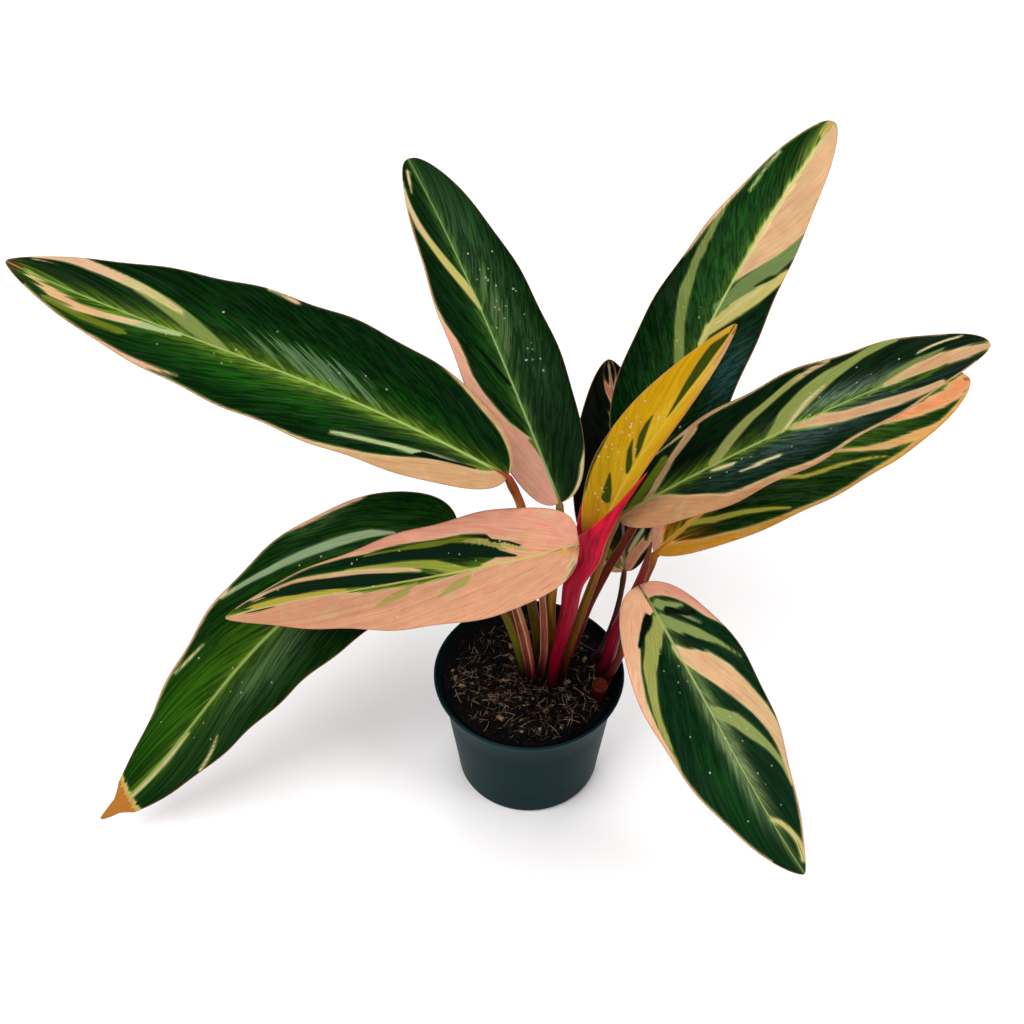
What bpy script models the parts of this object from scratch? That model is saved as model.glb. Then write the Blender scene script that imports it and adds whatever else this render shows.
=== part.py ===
"""A potted calathea: ten tricolour leaves on stalks, in a nursery pot of potting soil.

Lengths in the tables are millimetres and angles are degrees. Z is up, and the origin is the
centre of the pot's base, on the surface that the pot stands on. Headings are counted from +X
(0) towards +Y (90).
"""
import math
from typing import NamedTuple

import bmesh
import bpy
from mathutils import Vector
from mathutils.bvhtree import BVHTree

MM = 0.001
MERGE = 1e-5

# Pot: a thin nursery pot with a collar round its mouth
POT_HEIGHT = 88.0
RIM_RADIUS = 60.0
COLLAR_RADIUS = 57.8
COLLAR_DEPTH = 7.0
WALL_TOP_RADIUS = 54.6
BASE_RADIUS = 45.5
BASE_EDGE = 3.5
WALL = 1.0
RIM_LIP = 1.8
POT_STEPS = 48
DRAIN_COUNT = 6
DRAIN_RADIUS = 4.0
DRAIN_RING = 27.0

# Soil: fills the pot to just under the rim
SOIL_TOP = 83.0
SOIL_MOUND = 1.2
SOIL_CLEARANCE = 0.35
SOIL_RINGS = 6

# Feet of stalks and sheaths: upright stretches that stand in holes in the soil
FOOT_BOTTOM = 72.0
FOOT_TOP = 86.5
HOLE_CLEARANCE = 0.5
HOLE_TOP = 100.0
HOLE_SIDES = 14

# Leaf blades
BLADE_THICKNESS = 0.8
BLADE_ROWS = 24
BLADE_COLUMNS = 6
BLADE_EDGE = 0.7
MARGIN_FALL = 0.4
WAVE_LENGTH = 56.0
LOBE_REACH = 0.16
MIDRIB_STEPS = 64
END_CROWDING = 0.65      # share by which the blade's rows crowd towards its base and tip

# Stalks and sheaths
STALK_POINTS = 14
STALK_SEAT = 0.3
STALK_SEAT_STEP = 0.05
STALK_SEAT_LIMIT = 4.0
STALK_TAPER = 0.8
SHEET_THICKNESS = 0.9
FOOT_SHARE = 0.12


class Leaf(NamedTuple):
    """One leaf: its blade by growth, and its stalk by the points it passes."""
    name: str
    base: tuple          # where the stalk meets the blade
    heading: float       # heading of the midrib at the base
    turn: float          # change of heading, even along the blade
    late_turn: float     # further change of heading, gathered at the tip
    pitch: float         # climb of the midrib at the base
    arch: float          # change of pitch, even along the blade
    late_arch: float     # further change of pitch, gathered at the tip
    roll: float          # turn about the midrib at the base
    twist: float         # change of roll along the blade
    length: float
    left: float          # widest half widths
    right: float
    shoulder: float      # smaller is rounder at the base
    point: float         # smaller is rounder at the tip
    fold: float          # rise of each half from the midrib
    lobe: float          # how far the base lobes reach behind the stalk
    wave: float          # height of the margin's waves
    foot: tuple          # where the stalk stands in the soil
    way: tuple           # points between the foot and the blade
    girth: tuple         # stalk radius at the foot and at the blade


LEAVES = (
    Leaf("left_long", (-13, 12, 249), 157.5, 10, -7, 19, -20, 19, 5, 20, 317, 37, 48,
         0.45, 0.77, 8, 0, 1.6, (4, 8),
         ((6, 8.5, 104), (1.5, 10, 141), (-5, 12, 222)), (3.8, 2.4)),
    Leaf("back_left", (18, 40, 198.5), 118.5, 5, 6, 41, 1, -1, -6, -9, 225, 32, 37.5,
         0.41, 0.51, 10, 0, 1.0, (8.5, 16),
         ((10, 19, 112), (14, 25, 140), (18, 35, 175)), (3.4, 2.2)),
    Leaf("back_right", (74, 61.5, 207.5), 49.5, -9, 9, 71, -48, 10, 0, -2, 233, 40, 34,
         0.19, 0.58, 8, 0, 1.2, (22.5, 11),
         ((29, 14, 103), (36.5, 20, 128), (47, 30, 148), (66, 49, 176)), (3.6, 2.6)),
    Leaf("young_gold", (36.5, -6, 198.5), 7.5, 13, 29, 84, -47, 1, -33, -8, 175, 21, 6,
         0.71, 0.79, 20, 0, 0.6, (14.5, -7.5),
         ((15.8, -7.7, 106), (19.6, -7.7, 130), (23.4, -7.5, 156), (27, -7, 180)), (1.7, 1.4)),
    Leaf("right_upper", (50, 4, 224.5), 8, -11, -6, 34, -1, 0, 1, 7, 230, 41.5, 41,
         0.55, 0.58, 8, 0, 1.3, (20.5, 1),
         ((26, 1, 116), (33, 2, 149), (40, 3, 180), (45, 4, 205)), (3.4, 2.3)),
    Leaf("right_lower", (75.5, 20, 176), 37, -8, -1, 23, -37, 1, -4, -15, 254, 41, 42,
         0.67, 0.74, 10, 0, 1.3, (47, 10),
         ((55, 7.5, 103), (61, 10, 126), (68, 15, 149)), (3.0, 2.4)),
    Leaf("back_small", (61.5, 61, 114), 96.5, 14, 3, 69, -3, 0, -3, 4, 145, 31.5, 23.5,
         0.49, 0.66, 10, 0, 0.8, (39.5, 9.5),
         ((46, 17, 90.5), (53, 31, 96), (58.5, 48, 103)), (2.2, 1.7)),
    Leaf("left_drooping", (-41.5, 10.5, 201), 182, 50, -33, -9, -89, 67, 11, 2, 309, 43.5, 46,
         0.35, 0.79, 8, 0, 1.5, (-3, 1.5),
         ((-4.7, 1.2, 103), (-13.7, 3, 138), (-30, 8, 176)), (4.2, 2.5)),
    Leaf("front_pink", (19, -33, 237.5), 179.5, -5, 14, -21, 12, -5, 0, -1, 204, 41, 40,
         0.31, 0.83, 8, 8, 1.2, (13, 7),
         ((13.6, 6.5, 116), (13.3, -1, 154), (15, -15, 196)), (3.2, 1.9)),
    Leaf("front_right", (68.5, -9, 170), -57, 5, 9, -26, -24, 10, 8, -3, 189, 39, 42.5,
         0.45, 0.79, 8, 8, 1.2, (48.5, -6),
         ((52, -8, 100), (57, -8, 118), (62, -9, 146)), (2.5, 2.2)),
)


class Sheath(NamedTuple):
    """A rolled leaf sheath: a curved sheet round a path, with an uneven mouth."""
    name: str
    way: tuple           # points of the path above the foot
    foot: tuple
    sections: tuple      # at even steps of the path: half width, half depth, and the centre's offset
    facing: float        # direction of the width round the path
    arc: tuple           # where the sheet starts and ends round the path
    mouth: tuple         # how far up the path each column reaches, at even steps of the arc
    rows: int
    hole: float          # radius of its hole in the soil, before clearance


def round_sections(*radii):
    """Sections of a round sheath, centred on its path."""
    return tuple((radius, radius, 0.0, 0.0) for radius in radii)


SHEATHS = (
    Sheath("sheath_pink", ((8.2, -3.6, 98), (9.2, -4, 119), (8, -3, 154), (4, -1, 204)), (7, -3.5),
           round_sections(1.9, 2.2, 2.2, 2.0, 1.4), 0, (40, -200),
           (0.82, 0.93, 1.0, 0.9, 0.72), 14, 2.4),
    Sheath("sheath_left", ((-0.4, -6.2, 107), (-7, -4, 146), (-20, -1, 198)), (1, -6.5),
           round_sections(2.1, 3.0, 3.4, 3.0, 1.8), 0, (70, -160),
           (0.75, 0.92, 1.0, 0.9, 0.8), 14, 2.6),
)

# The crimson sheath wraps the foot of the young leaf, and its right side runs on along that leaf's edge
CRIMSON_SECTIONS = (
    (3.1, 3.1, 0, 0), (3.4, 3.4, 0, 0), (4.0, 3.9, 0, 0), (5.0, 4.4, 0, 0), (6.2, 5.0, -1.4, 0),
    (7.3, 5.6, -3.7, 0.3), (10.0, 6.7, -4.7, 1.2), (12.9, 6.5, -6.0, 2.2), (13.75, 6.1, -5.95, 2.4),
    (14.4, 5.7, -5.3, 2.4), (14.7, 5.3, -4.4, 2.4), (14.5, 4.9, -3.6, 2.2),
)
CRIMSON_FACING = -44
CRIMSON_ARC = (-75, 255)
CRIMSON_MOUTH = (0.52, 0.57, 0.68, 0.90, 0.73, 0.64, 0.58, 0.54, 0.52, 0.56, 0.65, 0.58, 0.53)
CRIMSON_ALONG_LEAF = (0.1, 0.2, 0.3, 0.4, 0.5, 0.6)
CRIMSON_ROWS = 24
CRIMSON_HOLE = 3.6

# Spear: the rolled crimson shoot of the clump at the pot's right
SPEAR_FOOT = (45.5, 1.5)
SPEAR_WAY = ((49.5, 0, 101), (53.5, 1, 126), (61.8, 3, 153), (68.3, 6, 177), (71.5, 8.5, 198))
SPEAR_RADII = (4.0, 4.4, 4.4, 3.9, 3.4, 2.6, 0.6)

# Cut stub of an old stalk, in front of the spear
STUB_PLACE = (44, -15)
STUB_RADIUS = 5.0
STUB_TOP = 95.0
STUB_DISH = 2.0
STUB_SIDES = 20

COLORS = {
    "pot": (0.012, 0.040, 0.042),
    "soil": (0.012, 0.008, 0.006),
    "leaf": (0.020, 0.090, 0.030),
    "leaf_gold": (0.720, 0.380, 0.030),
    "leaf_pink": (0.800, 0.420, 0.270),
    "stalk": (0.170, 0.080, 0.020),
    "crimson": (0.420, 0.012, 0.045),
    "pink": (0.550, 0.160, 0.110),
}


def clear_scene():
    """Remove every object that the file opened with."""
    for item in list(bpy.data.objects):
        bpy.data.objects.remove(item, do_unlink=True)


def collection(name):
    """A new collection in the scene."""
    made = bpy.data.collections.new(name)
    bpy.context.scene.collection.children.link(made)
    return made


def finish(name, rough):
    """A Principled material in one of the plant's colours."""
    material = bpy.data.materials.new(name)
    material.use_nodes = True
    shader = material.node_tree.nodes["Principled BSDF"]
    shader.inputs["Base Color"].default_value = (*COLORS[name], 1.0)
    shader.inputs["Roughness"].default_value = rough
    shader.inputs["Metallic"].default_value = 0.0
    return material


def add_object(name, data, home, material=None):
    """Put a mesh or curve in a collection, with its material."""
    made = bpy.data.objects.new(name, data)
    home.objects.link(made)
    if material:
        data.materials.append(material)
    return made


def mesh_object(name, bm, home, material=None):
    """Turn a bmesh into an object."""
    mesh = bpy.data.meshes.new(name)
    bm.to_mesh(mesh)
    bm.free()
    return add_object(name, mesh, home, material)


def direction(heading, pitch):
    """Unit vector of a heading and a pitch, both in degrees."""
    h, p = math.radians(heading), math.radians(pitch)
    return Vector((math.cos(p) * math.cos(h), math.cos(p) * math.sin(h), math.sin(p)))


def lerp_list(values, place):
    """Read a list of evenly spaced numbers or vectors at a place from 0 to 1."""
    spot = min(max(place, 0.0), 1.0) * (len(values) - 1)
    index = min(int(spot), len(values) - 2)
    return values[index] + (values[index + 1] - values[index]) * (spot - index)


def spline(points, place):
    """A smooth curve through points, read at a place from 0 to 1, that leaves the first upright."""
    spot = min(max(place, 0.0), 1.0) * (len(points) - 1)
    index = min(int(spot), len(points) - 2)
    u = spot - index
    a, b = points[index], points[index + 1]
    span = (b - a).length
    ahead = points[index + 2] if index + 2 < len(points) else b + (b - a)
    leave = Vector((0, 0, span)) if index == 0 else (b - points[index - 1]).normalized() * span
    arrive = (ahead - a).normalized() * span
    h00, h10 = 2 * u**3 - 3 * u**2 + 1, u**3 - 2 * u**2 + u
    h01, h11 = -2 * u**3 + 3 * u**2, u**3 - u**2
    return a * h00 + leave * h10 + b * h01 + arrive * h11


def heading_at(leaf, s):
    """Heading of the midrib at s, from 0 at the base to 1 at the tip."""
    return leaf.heading + leaf.turn * s + leaf.late_turn * s**3


def pitch_at(leaf, s):
    """Pitch of the midrib at s."""
    return leaf.pitch + leaf.arch * s + leaf.late_arch * s**3


def midrib_line(leaf):
    """Points of the midrib at even steps, by adding up short straight stretches."""
    step = leaf.length / MIDRIB_STEPS
    points = [Vector(leaf.base)]
    for index in range(MIDRIB_STEPS):
        middle = (index + 0.5) / MIDRIB_STEPS
        points.append(points[-1] + direction(heading_at(leaf, middle), pitch_at(leaf, middle)) * step)
    return points


def blade_profile(leaf, s):
    """Width of the blade at s, as a share of its widest width."""
    widest = leaf.shoulder / (leaf.shoulder + leaf.point)
    top = widest**leaf.shoulder * (1 - widest)**leaf.point
    return s**leaf.shoulder * (1 - s)**leaf.point / top


def blade_point(leaf, line, s, t):
    """Point of the blade's middle surface: s along the midrib, t from -1 (left) to 1 (right)."""
    heading, pitch = heading_at(leaf, s), pitch_at(leaf, s)
    along = direction(heading, pitch)
    level = direction(heading - 90, 0)
    over = level.cross(along)
    roll = math.radians(leaf.roll + leaf.twist * s)
    side = level * math.cos(roll) + over * math.sin(roll)
    above = side.cross(along)
    half = leaf.right if t > 0 else leaf.left
    width = half * blade_profile(leaf, s)
    rise = math.tan(math.radians(leaf.fold)) * width * (abs(t) - MARGIN_FALL * t * t)
    phase = leaf.heading / 90 + (0.4 if t > 0 else 0.0)
    swell = math.sin(2 * math.pi * (s * leaf.length / WAVE_LENGTH + phase)) * math.sin(math.pi * s)
    behind = leaf.lobe * max(0.0, 1 - s / LOBE_REACH)**1.5 * abs(t)
    centre = lerp_list(line, s)
    return (centre + side * ((width + BLADE_EDGE) * t)
            + above * (rise + leaf.wave * t * t * swell) - along * behind)


def make_blade(leaf, home, material):
    """A leaf blade: a grid laid on the leaf's surface, split into triangles and thickened."""
    line = midrib_line(leaf)
    bm = bmesh.new()
    bmesh.ops.create_grid(bm, x_segments=BLADE_ROWS, y_segments=BLADE_COLUMNS, size=0.5)
    for vert in bm.verts:
        u = vert.co.x + 0.5
        s = (1 - END_CROWDING) * u + END_CROWDING * (0.5 - 0.5 * math.cos(math.pi * u))
        vert.co = blade_point(leaf, line, s, -2 * vert.co.y) * MM
    bmesh.ops.triangulate(bm, faces=bm.faces)
    for face in bm.faces:
        face.smooth = True
    blade = mesh_object("leaf_" + leaf.name, bm, home, material)
    thicken = blade.modifiers.new("thickness", "SOLIDIFY")
    thicken.thickness = BLADE_THICKNESS * MM
    thicken.offset = 0.0
    return blade


def foot_and_way(foot, way):
    """Points of a path that rises from the top of a foot."""
    return [Vector((*foot, FOOT_TOP))] + [Vector(point) for point in way]


def tube(name, points, radii, home, material):
    """A round tube along points, with closed ends."""
    curve = bpy.data.curves.new(name, "CURVE")
    curve.dimensions = "3D"
    curve.bevel_depth = MM
    curve.bevel_resolution = 2
    curve.use_fill_caps = True
    run = curve.splines.new("POLY")
    run.points.add(len(points) - 1)
    for place, point, radius in zip(run.points, points, radii):
        place.co = (*(point * MM), 1.0)
        place.radius = radius
    return add_object(name, curve, home, material)


def path_points(foot, way):
    """Foot, then even samples of the smooth path above it."""
    points = foot_and_way(foot, way)
    samples = [spline(points, index / STALK_POINTS) for index in range(STALK_POINTS + 1)]
    return [Vector((*foot, FOOT_BOTTOM))] + samples


def seat_gap(blade, end, towards, radius):
    """How far short of its end a stalk stops, so that it clears the blade by the seat."""
    mesh = blade.data
    tree = BVHTree.FromPolygons([vert.co / MM for vert in mesh.vertices],
                                [tuple(face.vertices) for face in mesh.polygons])
    across = towards.orthogonal().normalized()
    beside = towards.cross(across)
    disc = [Vector()] + [(across * math.cos(turn) + beside * math.sin(turn)) * radius
                         for turn in (math.pi * index / 6 for index in range(12))]
    gap = BLADE_THICKNESS / 2 + STALK_SEAT
    while gap < STALK_SEAT_LIMIT:
        near = min(tree.find_nearest(end - towards * gap + point)[3] for point in disc)
        if near >= BLADE_THICKNESS / 2 + STALK_SEAT:
            break
        gap += STALK_SEAT_STEP
    return gap


def make_stalk(leaf, blade, home, material):
    """A leaf's stalk, from its foot in the soil to just under its blade."""
    points = path_points(leaf.foot, leaf.way + (leaf.base,))
    thick, thin = leaf.girth
    towards = (points[-1] - points[-2]).normalized()
    points[-1] = points[-1] - towards * seat_gap(blade, points[-1], towards, thin)
    radii = [thick] + [thick + (thin - thick) * (index / STALK_POINTS)**STALK_TAPER
                       for index in range(STALK_POINTS + 1)]
    return tube("stalk_" + leaf.name, points, radii, home, material)


def make_sheath(sheath, home, material):
    """A sheath: a grid rolled round its path, cut to its mouth by the columns' reach."""
    points = foot_and_way(sheath.foot, sheath.way)
    start, end = sheath.arc
    sections = [Vector(section) for section in sheath.sections]
    facing = math.radians(sheath.facing)
    bm = bmesh.new()
    bmesh.ops.create_grid(bm, x_segments=sheath.rows, y_segments=len(sheath.mouth) - 1, size=0.5)
    for vert in bm.verts:
        u, across = vert.co.x + 0.5, vert.co.y + 0.5
        place = max(0.0, u - FOOT_SHARE) / (1 - FOOT_SHARE) * lerp_list(sheath.mouth, across)
        centre = spline(points, place)
        tangent = (spline(points, place + 0.01) - spline(points, place - 0.01)).normalized()
        if u < FOOT_SHARE:
            centre = Vector((*sheath.foot, FOOT_BOTTOM + (FOOT_TOP - FOOT_BOTTOM) * u / FOOT_SHARE))
            tangent = Vector((0, 0, 1))
        ahead = (Vector((1, 0, 0)) - tangent * tangent.x).normalized()
        beside = tangent.cross(ahead)
        wide = ahead * math.cos(facing) + beside * math.sin(facing)
        deep = wide.cross(tangent)
        angle = math.radians(start + (end - start) * across)
        half_width, half_depth, shift, lift = lerp_list(sections, place)
        vert.co = (centre + wide * (half_width * math.cos(angle) + shift)
                   + deep * (half_depth * math.sin(angle) + lift)) * MM
    bmesh.ops.triangulate(bm, faces=bm.faces)
    for face in bm.faces:
        face.smooth = True
    sheet = mesh_object(sheath.name, bm, home, material)
    thicken = sheet.modifiers.new("thickness", "SOLIDIFY")
    thicken.thickness = SHEET_THICKNESS * MM
    thicken.offset = 0.0
    return sheet


def crimson_sheath():
    """The crimson sheath, which follows the young leaf's stalk and then its midrib."""
    leaf = next(item for item in LEAVES if item.name == "young_gold")
    line = midrib_line(leaf)
    along = tuple(tuple(lerp_list(line, s)) for s in CRIMSON_ALONG_LEAF)
    return Sheath("sheath_crimson", leaf.way + (leaf.base,) + along, leaf.foot, CRIMSON_SECTIONS,
                  CRIMSON_FACING, CRIMSON_ARC, CRIMSON_MOUTH, CRIMSON_ROWS, CRIMSON_HOLE)


def make_spear(home, material):
    """The rolled shoot: a tube that narrows to a point."""
    points = path_points(SPEAR_FOOT, SPEAR_WAY)
    radii = [SPEAR_RADII[0]] + [lerp_list(SPEAR_RADII, index / STALK_POINTS)
                                for index in range(STALK_POINTS + 1)]
    return tube("spear_crimson", points, radii, home, material)


def turned(name, profile, steps, home, material=None):
    """A solid turned from a profile of (radius, height) that runs down its outer side."""
    bm = bmesh.new()
    verts = [bm.verts.new((radius * MM, 0, height * MM)) for radius, height in profile]
    for first, second in zip(verts, verts[1:]):
        bm.edges.new((first, second))
    made = mesh_object(name, bm, home, material)
    screw = made.modifiers.new("turn", "SCREW")
    screw.steps = steps
    screw.render_steps = steps
    screw.use_merge_vertices = True
    screw.merge_threshold = MERGE
    screw.use_normal_calculate = False
    return made


def applied(source, home):
    """Replace an object by a plain mesh of its evaluated shape."""
    graph = bpy.context.evaluated_depsgraph_get()
    mesh = bpy.data.meshes.new_from_object(source.evaluated_get(graph))
    name, material = source.name, source.data.materials[0] if source.data.materials else None
    bpy.data.objects.remove(source, do_unlink=True)
    mesh.materials.clear()
    return add_object(name, mesh, home, material)


def inner_radius(height):
    """Radius of the pot's inner wall at a height."""
    bend = POT_HEIGHT - COLLAR_DEPTH
    top, middle = RIM_RADIUS - RIM_LIP, WALL_TOP_RADIUS - WALL
    if height > bend:
        return middle + (top - middle) * (height - bend) / COLLAR_DEPTH
    return BASE_RADIUS - WALL + (middle - BASE_RADIUS + WALL) * height / bend


def cut(target, cutter):
    """Cut one closed mesh out of another."""
    slot = target.modifiers.new("cut", "BOOLEAN")
    slot.operation = "DIFFERENCE"
    slot.object = cutter


def make_cutter(name, cylinders, home):
    """One hidden mesh of upright cylinders, each (x, y, radius, bottom, top)."""
    bm = bmesh.new()
    for x, y, radius, bottom, top in cylinders:
        made = bmesh.ops.create_cone(bm, cap_ends=True, segments=HOLE_SIDES, radius1=radius * MM,
                                     radius2=radius * MM, depth=(top - bottom) * MM)
        middle = Vector((x, y, (bottom + top) / 2)) * MM
        bmesh.ops.translate(bm, verts=made["verts"], vec=middle)
    cutter = mesh_object(name, bm, home)
    cutter.hide_render = True
    cutter.display_type = "WIRE"
    return cutter


def make_pot(home, cutters, material):
    """The pot: collar, tapered wall and flat base, with drainage holes round the base."""
    bend = POT_HEIGHT - COLLAR_DEPTH
    floor = WALL
    profile = (
        (0, floor), (inner_radius(floor) - 2, floor), (inner_radius(floor + 2), floor + 2),
        (inner_radius(bend), bend), (inner_radius(POT_HEIGHT), POT_HEIGHT - 0.6),
        (RIM_RADIUS - RIM_LIP + 0.6, POT_HEIGHT), (RIM_RADIUS - 0.5, POT_HEIGHT),
        (RIM_RADIUS, POT_HEIGHT - 0.6), (RIM_RADIUS - 0.3, POT_HEIGHT - 1.8),
        (COLLAR_RADIUS, bend + 0.4), (COLLAR_RADIUS - 0.5, bend), (WALL_TOP_RADIUS, bend - 0.6),
        (BASE_RADIUS, BASE_EDGE), (BASE_RADIUS - 1.2, 1.2), (BASE_RADIUS - BASE_EDGE, 0), (0, 0),
    )
    pot = turned("pot", profile, POT_STEPS, home, material)
    holes = []
    for index in range(DRAIN_COUNT):
        angle = 2 * math.pi * index / DRAIN_COUNT
        holes.append((DRAIN_RING * math.cos(angle), DRAIN_RING * math.sin(angle),
                      DRAIN_RADIUS, -2, floor + 2))
    cut(pot, make_cutter("cutter_drains", holes, cutters))
    return pot


def soil_height(x, y):
    """Height of the soil's top: a low mound with a few soft swells."""
    reach = math.hypot(x, y) / inner_radius(SOIL_TOP)
    swell = 0.5 * math.sin(x / 7.5 + 1.3) * math.cos(y / 6.5) + 0.35 * math.sin((x + y) / 4.6)
    return SOIL_TOP + SOIL_MOUND * (1 - reach**2) + swell * (1 - reach**4)


def make_soil(feet, home, cutters, material):
    """The soil: a turned body under a mounded top, with a plain hole for each foot."""
    edge = inner_radius(SOIL_TOP) - SOIL_CLEARANCE
    bend = POT_HEIGHT - COLLAR_DEPTH
    bottom = WALL + SOIL_CLEARANCE
    top = [(edge * index / SOIL_RINGS, SOIL_TOP) for index in range(SOIL_RINGS + 1)]
    side = [(inner_radius(bend) - SOIL_CLEARANCE, bend),
            (inner_radius(bottom + 3) - SOIL_CLEARANCE, bottom + 3),
            (inner_radius(bottom) - 3, bottom), (0, bottom)]
    soil = applied(turned("soil", top + side, POT_STEPS, home, material), home)
    for vert in soil.data.vertices:
        if vert.co.z > (SOIL_TOP - 0.1) * MM:
            vert.co.z = soil_height(vert.co.x / MM, vert.co.y / MM) * MM
    gap = FOOT_BOTTOM - SOIL_CLEARANCE
    holes = [(x, y, radius + HOLE_CLEARANCE, gap, HOLE_TOP) for x, y, radius in feet]
    cut(soil, make_cutter("cutter_feet", holes, cutters))
    return soil


def make_stub(home, material):
    """The cut stub: a short round stump with a shallow dished end."""
    profile = ((0, STUB_TOP - STUB_DISH), (STUB_RADIUS - 1.2, STUB_TOP - STUB_DISH),
               (STUB_RADIUS - 0.6, STUB_TOP), (STUB_RADIUS, STUB_TOP - 0.3),
               (STUB_RADIUS - 0.2, FOOT_BOTTOM), (0, FOOT_BOTTOM))
    stub = turned("stub_cut", profile, STUB_SIDES, home, material)
    stub.location = (STUB_PLACE[0] * MM, STUB_PLACE[1] * MM, 0)
    return stub


def main():
    """Build the plant, its soil and its pot."""
    clear_scene()
    home = collection("potted_calathea")
    cutters = collection("cutters")
    green, gold, pink = finish("leaf", 0.3), finish("leaf_gold", 0.35), finish("leaf_pink", 0.4)
    brown, crimson, blush = finish("stalk", 0.4), finish("crimson", 0.35), finish("pink", 0.45)
    blades = {"young_gold": gold, "front_pink": pink}
    feet = [(*STUB_PLACE, STUB_RADIUS), (*SPEAR_FOOT, SPEAR_RADII[0]),
            (*crimson_sheath().foot, CRIMSON_HOLE)]
    for leaf in LEAVES:
        blade = make_blade(leaf, home, blades.get(leaf.name, green))
        make_stalk(leaf, blade, home, brown)
        if leaf.name != "young_gold":
            feet.append((*leaf.foot, leaf.girth[0]))
    for sheath in SHEATHS:
        make_sheath(sheath, home, blush)
        feet.append((*sheath.foot, sheath.hole))
    make_sheath(crimson_sheath(), home, crimson)
    make_spear(home, crimson)
    make_stub(home, crimson)
    make_soil(feet, home, cutters, finish("soil", 0.9))
    make_pot(home, cutters, finish("pot", 0.45))


main()
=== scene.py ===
"""Looks of the potted calathea: variegated leaves, stalks, rolled sheaths, soil and pot.

Lengths in the tables are millimetres and angles are degrees. A place on a leaf is (s, t): s runs
from 0 at the base to 1 at the tip, and t from -1 at the left margin to 1 at the right margin.
"""
import logging
import math
from dataclasses import dataclass
from enum import Enum
from functools import partialmethod
from typing import Any, Callable, Sequence

import bmesh
import bpy
import numpy as np
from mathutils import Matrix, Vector


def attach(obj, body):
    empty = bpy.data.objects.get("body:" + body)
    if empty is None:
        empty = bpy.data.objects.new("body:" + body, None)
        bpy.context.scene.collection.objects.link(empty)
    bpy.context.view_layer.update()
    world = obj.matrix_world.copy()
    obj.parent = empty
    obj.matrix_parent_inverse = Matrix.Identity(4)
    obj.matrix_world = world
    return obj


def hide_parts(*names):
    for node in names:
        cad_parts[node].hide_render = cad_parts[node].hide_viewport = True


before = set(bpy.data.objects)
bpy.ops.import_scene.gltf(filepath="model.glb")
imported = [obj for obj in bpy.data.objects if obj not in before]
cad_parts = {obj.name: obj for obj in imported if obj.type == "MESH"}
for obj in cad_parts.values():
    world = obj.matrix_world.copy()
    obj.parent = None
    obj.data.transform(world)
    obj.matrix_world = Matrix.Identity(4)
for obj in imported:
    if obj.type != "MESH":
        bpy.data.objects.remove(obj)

Array = np.ndarray
Material = bpy.types.Material
Thing = bpy.types.Object
Socket = bpy.types.NodeSocket
Tree = bpy.types.NodeTree
Pair = tuple[float, float]
Triple = tuple[float, float, float]
Colour = Triple
Stops = tuple[tuple[float, Colour], ...]

LOG = logging.getLogger("potted_calathea")
MM = 0.001
BODY = "root"
STUDIO_GAIN = 0.85       # a surface's own brightness, as a share of how it shows in the studio
CHART_UNIT = 100.0       # millimetres to one unit of a UV map
FAR = 1e3                # farther than any mark lies
SOIL_LINE = 84.0         # height at which stems leave the soil
FOOT_LOW = 76.0          # height of their ends in the soil
FOOT_TOP = 86.5          # height from which they bend


def tone(red: float, green: float, blue: float) -> Colour:
    """A colour as the surface's own linear numbers.

    Args:
        red, green, blue: How it shows in the studio, 0 to 255 a channel.
    Returns:
        The linear numbers.
    """
    shares = (value / 255 for value in (red, green, blue))
    linear = (c / 12.92 if c <= 0.04045 else ((c + 0.055) / 1.055) ** 2.4 for c in shares)
    return tuple(STUDIO_GAIN * value for value in linear)


BLACK_GREEN = tone(3, 16, 6)
DEEP_GREEN = tone(5, 36, 7)
MID_GREEN = tone(22, 78, 12)
MOSS = tone(56, 90, 12)
SAGE = tone(98, 128, 88)
PALE_SAGE = tone(160, 176, 122)
OLIVE = tone(96, 108, 26)
SOFT_OLIVE = tone(116, 132, 66)
DARK_OLIVE = tone(54, 66, 12)
STRAW = tone(192, 182, 104)
GREY_GREEN = tone(86, 112, 66)
PEACH = tone(202, 156, 116)
BRIGHT_PEACH = tone(212, 172, 128)
CREAM = tone(212, 194, 144)
PINK = tone(214, 152, 126)
BRIGHT_PINK = tone(224, 166, 140)
TAN = tone(180, 134, 92)
BROWN = tone(120, 66, 30)
GOLD = tone(190, 142, 14)
DARK_GOLD = tone(172, 108, 8)
# painted shade: near-black that the stems fade into where they crowd at the soil
STEM_FOOT_SHADE = tone(22, 6, 8)


class Side(Enum):
    """The two halves of a blade, seen from its base to its tip."""
    LEFT = -1
    RIGHT = 1


def densify(points: Sequence[Sequence[float]], steps: int) -> Array:
    """Put even points into each stretch of a line.

    Args:
        points: The line's rows.
        steps: Into how many steps each stretch is cut.
    Returns:
        The longer line's rows.
    """
    rows = np.array(points, dtype=float)
    spots = np.linspace(0, len(rows) - 1, (len(rows) - 1) * steps + 1)
    known = np.arange(len(rows))
    return np.stack([np.interp(spots, known, rows[:, k]) for k in range(rows.shape[1])], axis=1)


def segment_distance(x: Array, y: Array, a: Array, b: Array) -> tuple[Array, Array]:
    """Distance from points to one segment.

    Args:
        x, y: The points.
        a, b: The segment's ends.
    Returns:
        The distances, and the share of the segment at which each is measured.
    """
    dx, dy = b[0] - a[0], b[1] - a[1]
    share = np.clip(((x - a[0]) * dx + (y - a[1]) * dy) / max(dx * dx + dy * dy, 1e-9), 0, 1)
    return np.hypot(x - a[0] - share * dx, y - a[1] - share * dy), share


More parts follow.
